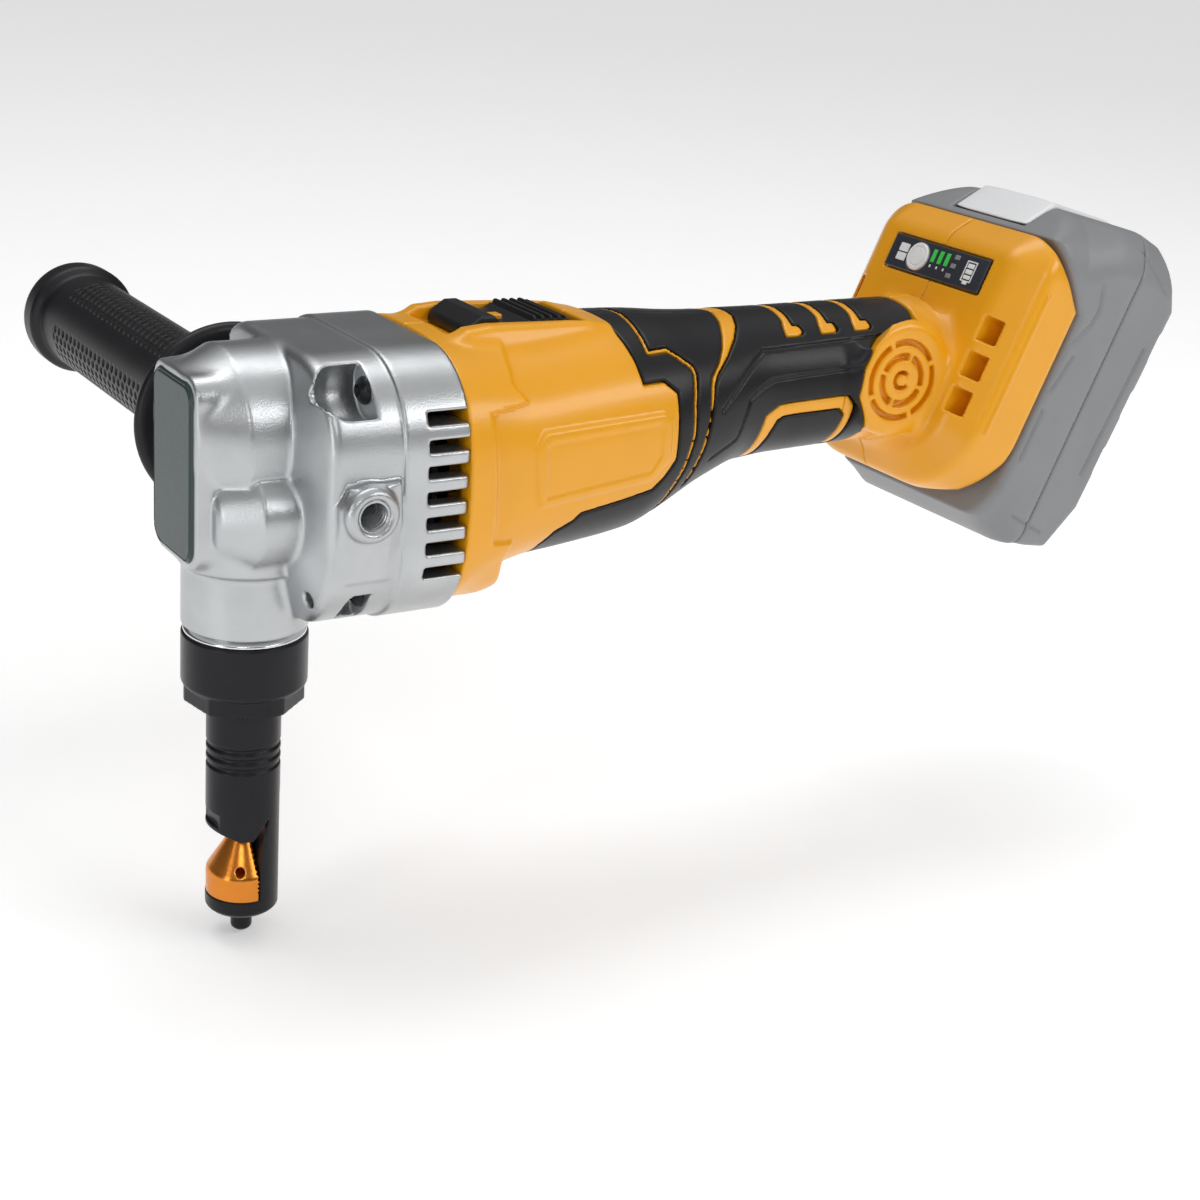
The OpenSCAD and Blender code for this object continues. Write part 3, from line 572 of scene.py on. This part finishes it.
def pedestal(x, y, z):
    """Raised seat of the slide switch."""
    wide = np.interp(x, [46, 52, 60, 78, 98], [15, 16.2, 15.6, 14.4, 12.2])
    top = np.interp(x, [47, 53, 60, 86, 92, 100], [164.4, 168.2, 168.8, 168.0, 167.6, 165.8])
    side = (np.abs(y) - wide) * 0.86 + (z - top) * 0.45
    shape = smax(smax(side, z - top, 1.6), (47.2 - x) * 0.8 + (z - 167.4) * 0.5, 1.6)
    shape = smax(shape, x - 100, 1)
    return smax(shape, 152 - z, 1)


def drum(x, y, z):
    """Round boss between the grip and the foot, lower on the +Y half."""
    shape = prism(disc(x, z, 17.5, *DRUM_AT), y, -23.2, 23.2, 3.2)
    return smax(shape, np.where(y > 0, z - 156.5, -9), 2)


def grille(x, y, z):
    """Ring slots in the drum's two faces."""
    dx, dz = x - GRILLE_AT[0], z - GRILLE_AT[1]
    radius = np.hypot(dx, dz)
    angle = np.degrees(np.arctan2(dz, dx))
    spoke = np.abs((angle + 22) % 90 - 45)
    inner = np.maximum(np.abs(radius - 7.0) - 1.05, (5 - (45 - spoke)) * radius * 0.017)
    outer = np.maximum(np.abs(radius - 11.2) - 0.9, (4 - spoke) * radius * 0.017)
    hub = np.maximum(np.abs(radius - 2.3) - 0.6, (40 - np.abs(angle)) * 0.04)
    return np.maximum(joined([inner, outer, hub]), 20.9 - np.abs(y))


FOOT_SIDE = [(-8, 19), (6, 19), (8.6, 15.6), (25, 1.8), (25, -47), (21.5, -60), (14, -64.6), (-8, -64.6)]


def foot_front(y, s):
    """Outline of the foot seen from the front, rounder at the bottom."""
    return rect(y, s + 22.8, 38, 41.8, np.where(s > -22, 13.0, 25.0))


def foot_bevel(n, front):
    """Bevel round the foot's front face."""
    return ((front + 9.8) * 8 - n * 9.8) / math.hypot(8, 9.8)


def foot(x, y, z):
    """Battery foot with its side ridges, three slots a side, key window and display pocket."""
    n, s = in_foot(x, z)
    a = np.abs(y)
    front = foot_front(y, s)
    shape = smax(front, polygon(n, s, FOOT_SIDE), 2.5)
    shape = smax(shape, -n, 0.8)
    shape = smax(shape, foot_bevel(n, front), 2.0)
    ridge = np.maximum(np.abs(n - 10.6) - 0.7, np.abs(s + 20) - 22)
    shape = shape - 0.45 * ease(-ridge / 0.5 + 0.6) * (a > 34)
    row = np.clip(np.round((SLOT_TOP_S - s) / SLOT_PITCH), 0, 2)
    floor_n = np.interp(a, [28.4, 30.2, 33.2], [10, 9, 4.8])
    slots = smax(rect(a - 30.1, s - SLOT_TOP_S + row * SLOT_PITCH, 2.6, 3.8, 0.5), n - floor_n, 0.4)
    shape = cut(shape, slots, 0.5)
    shape = cut(shape, np.maximum(np.hypot(y - KEY_Y, s) - 5, n - 6), 0.2)
    return cut(shape, rect(y, s, 21.7, 5.7, 0.6) + np.maximum(n - 1.2, 0) * 3, 0.3)


def grip_hollow(x, y, z):
    """Room inside the housing for the motor, the wiring, the switch and the pack's rail."""
    n, s = in_foot(x, z)
    along = np.clip((x - 94) / 56, 0, 1)
    neck = disc(y, z - along * 9.9, 25 - 8.6 * along, 0, 134)
    front = foot_front(y, s)
    wall = np.maximum(front + 3, foot_bevel(n, front) + 2.4)
    return joined([
        # Motor bay, cone and wiring duct
        rod(y, z, x, 33.2, 20, 48.6, 0, MOTOR_Z),
        rod(y, z, x, 26, 48, 86, 0, MOTOR_Z),
        rod(y, z, x, 25.5, 85, 94, 0, MOTOR_Z),
        np.maximum(neck, between(x, 94, 150)),
        rod(y, z, x, 16.4, 148, 214, 0, 143.6),
        # Slide switch and its link
        box(x, y, z, (49.4, 90.6), (-11.4, 11.4), (164.2, 200), 0.8),
        box(x, y, z, (74.6, 86.4), (-3.4, 3.4), (155, 168), 0.3),
        rod(y, z, x, 2, 76, 110, 0, LINK_Z, 0.2),
        # Room and rail seats of the foot
        np.maximum(box(n, y, s, (3.2, 11), (-26, 26), (-56, 10), 0.5), wall),
        box(n, y, s, (13, 18.8), (-28.2, 28.2), (-46, 40), 0.3),
        box(n, y, s, (13, 40), (-24.4, 24.4), (-46, 40), 0.3),
        box(n, y, s, (9, 14), (-14.3, 14.3), (-44.3, -30), 0.3),
    ])


def orange(x, y, z):
    """Orange housing: barrel with collar, panels and switch seat, and the rear end with the foot."""
    skin, angle = barrel(x, y, z)
    v = angle * DEGREE
    black = polygon(x, v, BLACK_ZONE)
    zone = np.minimum(-black, accents(x, v))
    body = skin - collar(x, angle) - side_panel(x, y, z)
    body = smin(body, pedestal(x, y, z), 2.2)
    shown = smax(smax(body + 0.12 * (black < 0), zone + 0.22, 0.5), x - 212, 0.5)
    core = np.maximum(skin + SKIN, x - 212)
    shape = smax(np.minimum(shown, core), SEAM_X + 0.05 - x, 0.5)
    rear = smin(smin(foot(x, y, z), drum(x, y, z), 4.5), np.maximum(skin - 0.4, between(x, 196, 214)), 5)
    rear = cut(rear, grille(x, y, z), 0.5)
    shape = np.minimum(shape, cut(rear, np.maximum(black - 0.25, -(skin + SKIN)), 0.5))
    return cut(shape, grip_hollow(x, y, z), 0.5)


def half(field, side):
    """One side's half of a field, with a fine gap on the centre plane."""
    return lambda x, y, z: smax(field(x, y, z), HALF_GAP - side * y, 0.35)


def skin_cover(x, y, z):
    """Black grip skin with its engraved lines, drawn up round the drum."""
    skin, angle = barrel(x, y, z)
    v = angle * DEGREE
    zone = np.maximum(polygon(x, v, BLACK_ZONE), -accents(x, v))
    wrap = smin(skin, np.maximum(drum(x, y, z) + 0.25, z - 156), 5)
    outer = np.where(x > 172, wrap, skin)
    for line in GRIP_LINES:
        outer = outer + 0.5 * ease(1.4 - path(x, v, line) / 0.55)
    shape = smax(outer, zone + 0.2, 0.5)
    return cut(shape, skin + SKIN + 0.03, 0.2)


for side, name in ((-1, "left"), (1, "right")):
    ys = (-44, 0) if side < 0 else (0, 44)
    solid(f"motor_housing_{name}", (SEAM_X, ys[0], 90), (FOOT_SPLIT_X, ys[1], 173), 0.6,
          lambda x, y, z, s=side: smax(half(orange, s)(x, y, z), x - FOOT_SPLIT_X, 0.3), "tool_body",
          "orange_plastic", [f"housing_{name}"])
    solid(f"battery_foot_{name}", (FOOT_SPLIT_X, ys[0], 106), (262, ys[1], 196), 0.6,
          lambda x, y, z, s=side: smax(half(orange, s)(x, y, z), FOOT_SPLIT_X - x, 0.3), "tool_body",
          "orange_plastic", [f"housing_{name}"])
    solid(f"grip_cover_{name}", (60, ys[0], 95), (207, ys[1], 167), 0.5, half(skin_cover, side), "tool_body",
          "black_rubber", [f"overmould_{name}"])


# ---- Switch ----
# Top of the slide switch: x, then z
SLIDER_TOP = ([54.5, 56, 60, 63.5, 66, 69, 72, 75, 84, 88.5, 90.5],
              [166.0, 167.6, 170.2, 170.2, 167.8, 166.8, 167.2, 168.9, 168.7, 167.0, 166.4])


def slider(x, y, z):
    """Slide switch with a thumb rest, ribs at the rear and a tongue into the housing."""
    top = np.interp(x, *SLIDER_TOP)
    ridges = np.clip(np.cos((x - 75.6) * 2 * math.pi / 2.5) * 0.9, -0.55, 0.55) * (np.abs(x - 79.8) < 5.6)
    block = smax(rect(x - 72.5, y, 17.5, 11, 1.5), (z - top - ridges) * 0.8, 0.8)
    block = smax(block, 164.6 - z, 0.3)
    return np.minimum(block, box(x, y, z, (80, 86), (-3, 3), (160.2, 166), 0.3))


solid("slider", (55, -11, 160), (90, 11, 172), 0.3, slider, "switch", "black_plastic", ["switch_slider"])
solid("slider_mark", (67, -2.2, 166.4), (71.4, 2.2, 168.6), 0.2,
      lambda x, y, z: box(x, y, z, (67.4, 71), (-1.8, 1.8), (166.5, 168.1), 0.4), "switch", "orange_plastic")


# ---- Nose ----
def collar_nut(x, y, z):
    """Clamping nut with a short hexagon below its rim."""
    radius = np.hypot(x, y)
    angle = np.arctan2(y, x)
    sector = (angle + 0.35) % (math.pi / 3) - math.pi / 6
    flats = prism(radius * np.cos(sector) - 14.5, z, 69.4, 76, 0.2)
    shape = smax(prism(radius - 16.5, z, 73.4, 89, 0.7), (radius - 16.5) * 0.66 + (75.0 - z) * 0.75, 0.5)
    shape = np.minimum(shape, smax(flats, radius - 15.7, 0.2))
    shape = cut(shape, np.maximum(radius - 10.4, z - 90), 0.4)
    return cut(shape, np.maximum(radius - 14.1, 76 - z), 0.3)


solid("collar_nut_turned", (-16.6, -16.6, 69), (16.6, 16.6, 89.2), 0.4, collar_nut, "collar_nut", "black_steel",
      ["collar_nut"])


def seat_ring(x, y, z):
    """Bright ring between the nut and the gear head."""
    radius = np.hypot(x, y)
    shape = smax(prism(radius - 16.0, z, 89, 91, 0.3), (radius - 15.2) * 0.6 + (z - 90.4) * 0.8, 0.3)
    return cut(shape, radius - 14.1, 0.2)


solid("seat_ring", (-16.2, -16.2, 89), (16.2, 16.2, 91.1), 0.28, seat_ring, "nose_ring", "bright_steel",
      ["nose_ring"])


def die_holder(x, y, z):
    """Die holder with grooves, a spine and the opening that the sheet runs into."""
    radius = np.hypot(x, y)
    shape = prism(radius - 9.85, z, 8, 76, 0.5)
    shape = smax(shape, (radius - 9.7) * 0.7 + (9.1 - z) * 0.7, 0.4)
    shape = np.minimum(shape, prism(radius - 13, z, 71.3, 75.7, 0.3))
    shape = np.minimum(shape, prism(radius - 11, z, 75, 80, 0.3))
    for low in (51.2, 54.0, 56.8):
        groove = np.hypot(radius - 10.2, (z - low - 0.6) * 1.1) - 0.95
        shape = cut(shape, groove, 0.25)
    # Flat back of the spine, running out below the grooves
    flat = x - 8.9 - np.maximum(z - 42, 0) * 0.25
    shape = smax(shape, flat, 0.6)
    # Opening over the die: its upper edge rises from the punch to the two sides
    roof = 31.2 + 0.95 * np.maximum(np.abs(x + 2.6) - 1.7, 0) * np.where(x < -2.6, 0.42, 1.35)
    opening = np.maximum(np.maximum(13 - z, z - roof), x - 1.2 - np.maximum(z - 24, 0) * 0.18)
    arch = np.maximum(radius - 4.6, between(z, 25, 35.5))
    notch = box(x, y, z, (-12, -8.6), (-12, 12), (34.6, 38.2), 0.3)
    shape = cut(shape, smin(opening, arch, 0.6), 0.5)
    shape = cut(shape, notch, 0.3)
    bores = joined([
        np.maximum(radius - 6.35, 52.5 - z), np.maximum(radius - 4.95, 33.6 - z),
        np.maximum(radius - 2.05, z - 14), np.maximum(radius - 2.8, between(z, 13, 36)),
    ])
    return cut(shape, bores, 0.2)


solid("die_holder_turned", (-13.1, -13.1, 8), (13.1, 13.1, 80.1), 0.3, die_holder, "die_head", "black_steel",
      ["die_holder"])


def die(x, y, z):
    """Cone-topped die with a ribbed flat back and a cross hole."""
    radius = np.hypot(x, y)
    shape = prism(radius - 9.7, z, 13, 29.5, 0.3)
    shape = smax(shape, (radius - 9.5) * 0.85 + (z - 20) * 0.527, 0.5)
    shape = np.minimum(shape, prism(radius - 3.9, z, 20, 29.5, 0.3))
    ribs = 0.28 * np.cos(z * 2 * math.pi / 1.3) * (z > 15)
    shape = smax(shape, x - 0.9 + ribs, 0.35)
    shape = cut(shape, np.maximum(radius - 2.45, 15.2 - z), 0.2)
    shape = cut(shape, np.maximum(radius - 2.05, z - 16), 0.2)
    window = prism(disc(x * 0.9 - y * 0.44, z, 1.2, 0, 21.6), -x * 0.44 - y * 0.9, 1, 12, 0.1)
    return cut(shape, window, 0.3)


solid("die_coated", (-9.8, -9.8, 13), (4.2, 9.8, 29.8), 0.24, die, "die_head", "copper_coat", ["die"])


def die_screw(x, y, z):
    """Slotted screw that holds the die."""
    radius = np.hypot(x, y)
    head = smax(prism(radius - 2.9, z, 0, 8, 0.5), (radius - 2.0) * 0.62 + (0.7 - z) * 0.78, 0.6)
    head = cut(head, box(x, y, z, (-4, 4), (-0.5, 0.5), (-2, 1.0), 0.1), 0.15)
    return np.minimum(head, prism(radius - 2, z, 6, 15, 0.2))


solid("die_screw_turned", (-3, -3, 0), (3, 3, 15.1), 0.2, die_screw, "die_head", "black_steel", ["die_screw"])


# Steps of the punch: radius, bottom, top, rounding
PUNCH_STEPS = [(3.5, 50, 72, 0.3), (4.9, 38, 52, 0.4), (1.85, 19, 40, 0.1), (2.35, 18.5, 21.5, 0.1),
               (3.1, 32.4, 40, 0.4)]


def punch(x, y, z):
    """Stepped punch with a collar above its cutting end."""
    radius = np.hypot(x, y)
    return joined([prism(radius - r, z, z0, z1, edge) for r, z0, z1, edge in PUNCH_STEPS])


solid("punch_coated", (-5, -5, 18.5), (5, 5, 72), 0.25, punch, "punch", "copper_coat", ["punch"])


# ---- Side handle ----
# Dimples: millimetres along the grip and degrees round it
DIMPLE_PITCH = 3.6
DIMPLE_COLUMN = 11


def handle_grip(x, y, z):
    """Side-handle grip with a guard, an end bead and four fields of dimples."""
    radius = np.hypot(x - HANDLE_X, z - MOTOR_Z)
    angle = np.degrees(np.arctan2(x - HANDLE_X, z - MOTOR_Z))
    swell = 14.6 + 2.6 * ease((y - 163) / 4) + 0.5 * ease((90 - y) / 30)
    grip = smax(radius - swell, between(y, 50, 175.6), 4)
    flange = smax(radius - 27, between(y, 46, 50.4), 3.0)
    shape = smin(grip, flange, 3.5)
    sector = (angle - 30) % 90 - 45
    column = np.clip(np.round(sector / DIMPLE_COLUMN), -2, 2)
    u = (sector - column * DIMPLE_COLUMN) * 0.26
    offset = (column % 2) * DIMPLE_PITCH / 2
    w = (y - 62 - offset) % DIMPLE_PITCH - DIMPLE_PITCH / 2
    dimple = np.hypot(u * 0.8, w * 1.15) - 0.85
    dimple = np.maximum(np.maximum(dimple, between(y, 62, 152)), swell - 0.9 - radius)
    shape = cut(shape, dimple, 0.3)
    return cut(shape, np.maximum(radius - 11, y - 171.6), 0.3)


solid("side_grip_rubber", (-12.1, 46, 103.9), (42.1, 175.7, 158.1), 0.5, handle_grip, "side_handle", "black_rubber",
      ["side_handle_grip"])


# ---- Display ----
def film(x, y, z):
    """Dark display cover with a hole for the key."""
    n, s = in_foot(x, z)
    shape = box(n, y, s, (-0.4, 1.4), (-21.2, 21.2), (-5.2, 5.2), 0.3)
    return cut(shape, np.maximum(np.hypot(y - KEY_Y, s) - 4.6, n - 5), 0.2)


solid("display_cover", (217, -21.4, 168), (225, 21.4, 181), 0.35, film, "tool_body", "display_film",
      ["display_panel"])


def key(x, y, z):
    """Round key with a fine ring in its face."""
    n, s = in_foot(x, z)
    radius = np.hypot(y - KEY_Y, s)
    cap = smax(radius - 4.4, between(n, -0.9, 3.1), 0.6)
    return cut(cap, np.maximum(np.abs(radius - 3.0) - 0.18, n + 0.6), 0.1)


solid("display_key", (217, 3.8, 169), (226, 13, 180), 0.2, key, "display_button", "white_plastic",
      ["display_button"])


def mark(name, spans, material):
    """Printed marks on the display, as thin raised shapes in the foot's own frame."""
    def field(x, y, z):
        n, s = in_foot(x, z)
        return joined([box(n, y, s, (-0.62, -0.2), (y0, y1), (s0, s1), 0.12) for y0, y1, s0, s1 in spans])
    low, high = min(s[0] for s in spans), max(s[1] for s in spans)
    solid(name, (217, low, 168), (225, high, 181), 0.2, field, "tool_body", material)


BAR_YS = (1.8, -1.2, -4.2)
mark("charge_bars", [(y - 0.8, y + 0.8, -0.4, 3.6) for y in BAR_YS], "green_led")
mark("charge_ticks", [(y - 0.3, y + 0.3, -2.1, -1.2) for y in BAR_YS], "white_plastic")
mark("charge_dots", [(y - 1.1, y + 1.1, s - 0.7, s + 0.7) for y, s in ((-8, 3.2), (-7.6, 0.4), (-7.2, -2.8))],
     "pack_grey")
mark("charge_symbol", [(-13, -12.6, -3, 3.4), (-17, -16.6, -3, 3.4), (-17, -12.6, 3, 3.4), (-17, -12.6, -3, -2.6),
                       (-15.8, -13.8, -3.8, -3), (-16.2, -13.4, 1.2, 2.6), (-16.2, -13.4, -0.6, 0.8),
                       (-16.2, -13.4, -2.2, -1)], "white_plastic")
mark("button_tag", [(13.4, 17.4, 0.2, 2.8), (13.4, 17.4, -2.6, -0.2)], "white_plastic")


# ---- Battery pack ----
# Outlines of the pack seen from the side: n, s
PACK_SIDE = [(26.2, -65), (26.2, 1.2), (9, 17.6), (11, 20), (19.4, 29.6), (44, 33.2), (52, 32), (57, 26),
             (64, 16), (62, -50), (56, -65), (40, -70)]
LATCH_ROOM = [(0, 19.6), (20.5, 19.6), (26.5, 26), (38, 28.3), (49.9, 28.9), (49.9, 60), (0, 60)]
PACK_HOLLOW = [(29, -62), (29, 19), (40, 26), (50, 27), (56, 20), (58.4, 12), (58.4, -48), (54.6, -59),
               (50, -63.6), (38, -64.6)]
SIDE_LINES = [
    [(30, 13), (33, 6), (32, 0), (28.6, -6)], [(31, -10), (28.5, -22)], [(58, 2), (56, -40)],
    [(37, -60), (50, -61)], [(29, -28), (29, -44)], [(40, 29), (56, 20)],
]


def pack(x, y, z):
    """Whole pack shell: rounded body with rear steps and side lines, rails, hollow and latch room."""
    n, s = in_foot(x, z)
    a = np.abs(y)
    top = 34.4 - 0.19 * np.maximum(PACK_SPLIT - n, 0)
    corner = np.interp(n, [22, 32, 42], [22, 17, 7])
    outline = rect(y, s + 35 - top / 2, PACK_HALF, 35 + top / 2, corner)
    shape = smax(polygon(n, s, PACK_SIDE), outline, 3)
    shoulder = (s - top + 13.6 * (np.maximum(a - 9, 0) / 28.5) ** 6) * 0.8
    shape = smax(shape, shoulder, 1.5)
    for s0 in (4, -15, -34):
        back_wall = 62 + (s0 + 50) / 33
        step = box(n, a, s, (back_wall - 1.2, 75), (12, 50), (s0 - 4.2, s0 + 4.2), 0.8)
        shape = cut(shape, step, 0.8)
    shape = cut(shape, box(n, y, s, (44.5, 51.5), (-50, 50), (-80, -67.6), 1.0), 1.2)
    for line in SIDE_LINES:
        shape = shape + 0.6 * ease(1.3 - path(n, s, line) / 0.6) * (a > 34)
    rails = prism(rect(y, s + 13.3, 23.6, 30.7, 0.8), n, 14, 28, 0.4)
    rails = np.minimum(rails, prism(rect(y, s + 13.3, 27.8, 30.7, 0.8), n, 14, 18.4, 0.4))
    shape = np.minimum(shape, rails)
    shape = cut(shape, smax(smax(polygon(n, s, PACK_HOLLOW), outline + 2.6, 0.5), shoulder + 2.2, 0.5), 0.3)
    shape = cut(shape, np.maximum(polygon(n, s, LATCH_ROOM), a - 16.4), 0.4)
    for at in (-9, 0, 9):
        shape = cut(shape, box(n, y, s, (13.4, 19), (at - 1.6, at + 1.6), (-50, -12), 0.3), 0.2)
    return cut(shape, box(n, y, s, (13, 18.2), (-14.4, 14.4), (-50, -29.8), 0.3), 0.3)


def pack_part(rear):
    """Front or rear shell of the pack, either side of the split plane."""
    def field(x, y, z):
        n, _ = in_foot(x, z)
        gap = (PACK_SPLIT + SHELL_GAP - n) if rear else (n - PACK_SPLIT + SHELL_GAP)
        return smax(pack(x, y, z), gap, 0.5)
    return field


solid("pack_front_shell", (205, -37.6, 92), (282, 37.6, 212), 0.65, pack_part(False), "battery", "pack_grey",
      ["battery_top_shell"])
solid("pack_rear_shell", (230, -37.6, 92), (288, 37.6, 205), 0.65, pack_part(True), "battery", "pack_grey",
      ["battery_bottom_shell"])


LATCH_SIDE = [(10.7, 20), (15.6, 20), (22.8, 26.9), (38, 29), (46.6, 29.7), (46.6, 33.6), (44, 34.1),
              (19.1, 30.3)]


def release(x, y, z):
    """Latch button with a bore for its spring."""
    n, s = in_foot(x, z)
    outline = polygon(n, s, LATCH_SIDE) + 0.5 * (np.abs(y) / LATCH_HALF) ** 4
    shape = smax(outline, np.abs(y) - LATCH_HALF, 1.2)
    return cut(shape, rod(y, s, n, 1.4, 39, 60, 0, LATCH_SPRING_S, 0.1), 0.2)


solid("release_button", (220, -16.1, 178), (285, 16.1, 215), 0.4, release, "latch_button", "white_plastic",
      ["latch_button"])


def pack_screws(x, y, z):
    """Four screws sunk in the pack's rear corners."""
    n, s = in_foot(x, z)
    across = np.abs(y) - 35.75
    radius = np.hypot(across, np.minimum(np.abs(s - 8), np.abs(s + 52)))
    return np.minimum(prism(radius - 1.2, n, 36, 57, 0.1), prism(radius - 1.6, n, 55.6, 57.4, 0.3))


solid("pack_screw_bodies", (230, -38, 95), (282, 38, 180), 0.5, pack_screws, "battery", "bright_steel",
      ["battery_screws"])


# ---- Floor, light and camera ----
FLOOR_HALF = 8
FLOOR_Z = -0.0008
CORNERS = [(-1, -1), (1, -1), (1, 1), (-1, 1)]
floor_mesh = bpy.data.meshes.new("floor")
floor_mesh.from_pydata([(u * FLOOR_HALF, v * FLOOR_HALF, FLOOR_Z) for u, v in CORNERS], [], [(0, 1, 2, 3)])
floor = bpy.data.objects.new("floor", floor_mesh)
bpy.context.scene.collection.objects.link(floor)
floor_mesh.materials.append(finish("pale_floor", (0.93, 0.93, 0.93), 0.7, 0.0, 40, 0.0, 0.01))
glow = floor_mesh.materials[0].node_tree.nodes["Principled BSDF"].inputs
glow["Emission Color"].default_value = (1, 1, 1, 1)
glow["Emission Strength"].default_value = 0.3

# Sky: pale up to the horizon, then a dark band, and white overhead
world = bpy.data.worlds.new("studio")
bpy.context.scene.world = world
world.use_nodes = True
sky_nodes, sky_links = world.node_tree.nodes, world.node_tree.links
sky = sky_nodes.new("ShaderNodeValToRGB")
height = sky_nodes.new("ShaderNodeSeparateXYZ")
spread = sky_nodes.new("ShaderNodeMapRange")
spread.inputs["From Min"].default_value = -1
sky_links.new(sky_nodes.new("ShaderNodeTexCoord").outputs["Generated"], height.inputs["Vector"])
sky_links.new(height.outputs["Z"], spread.inputs["Value"])
sky_links.new(spread.outputs["Result"], sky.inputs["Fac"])
sky_links.new(sky.outputs["Color"], sky_nodes["Background"].inputs["Color"])
sky.color_ramp.elements[0].position, sky.color_ramp.elements[0].color = 0.5, (0.62, 0.63, 0.64, 1)
sky.color_ramp.elements[1].position, sky.color_ramp.elements[1].color = 0.95, (1, 1, 1, 1)
for at, grey in ((0.56, 0.12), (0.74, 0.14)):
    stop = sky.color_ramp.elements.new(at)
    stop.color = (grey, grey, grey, 1)
sky_nodes["Background"].inputs["Strength"].default_value = 0.8


def softbox(name, at, aim, wide, high, power):
    """Rectangular light at one point, aimed at another."""
    light = bpy.data.lights.new(name, "AREA")
    light.shape = "RECTANGLE"
    light.size, light.size_y, light.energy = wide, high, power
    lamp = bpy.data.objects.new(name, light)
    lamp.location = at
    lamp.rotation_euler = (Vector(aim) - Vector(at)).to_track_quat("-Z", "Y").to_euler()
    bpy.context.scene.collection.objects.link(lamp)


softbox("key_light", (0.85, -0.95, 0.85), (0.1, 0, 0.14), 1.1, 0.35, 6)
softbox("front_light", (-0.6, -1.2, 0.9), (0.08, 0, 0.13), 0.5, 0.3, 2.4)
softbox("side_light", (-1.3, -0.5, 0.35), (0.0, 0, 0.13), 0.3, 0.9, 3)
softbox("top_light", (0.1, 0.35, 1.6), (0.1, 0, 0.13), 1.4, 0.6, 7)

bpy.context.scene.view_settings.view_transform = "Standard"

# Camera: turned by yaw, pitch and roll, placed in metres
EYE = (-0.2018, -0.4683, 0.2916)
yaw, pitch, roll = (math.radians(v) for v in (-33.65, 20.49, 4.40))
back = Vector((math.sin(yaw) * math.cos(pitch), -math.cos(yaw) * math.cos(pitch), math.sin(pitch)))
level = Vector((math.cos(yaw), math.sin(yaw), 0))
rise = back.cross(level)
right = level * math.cos(roll) + rise * math.sin(roll)
up = rise * math.cos(roll) - level * math.sin(roll)
lens = bpy.data.cameras.new("camera")
lens.lens = 62.4
lens.sensor_width = 36
lens.clip_start, lens.clip_end = 0.01, 100
camera = bpy.data.objects.new("camera", lens)
camera.matrix_world = Matrix.Translation(EYE) @ Matrix((right, up, back)).transposed().to_4x4()
bpy.context.scene.collection.objects.link(camera)
bpy.context.scene.camera = camera
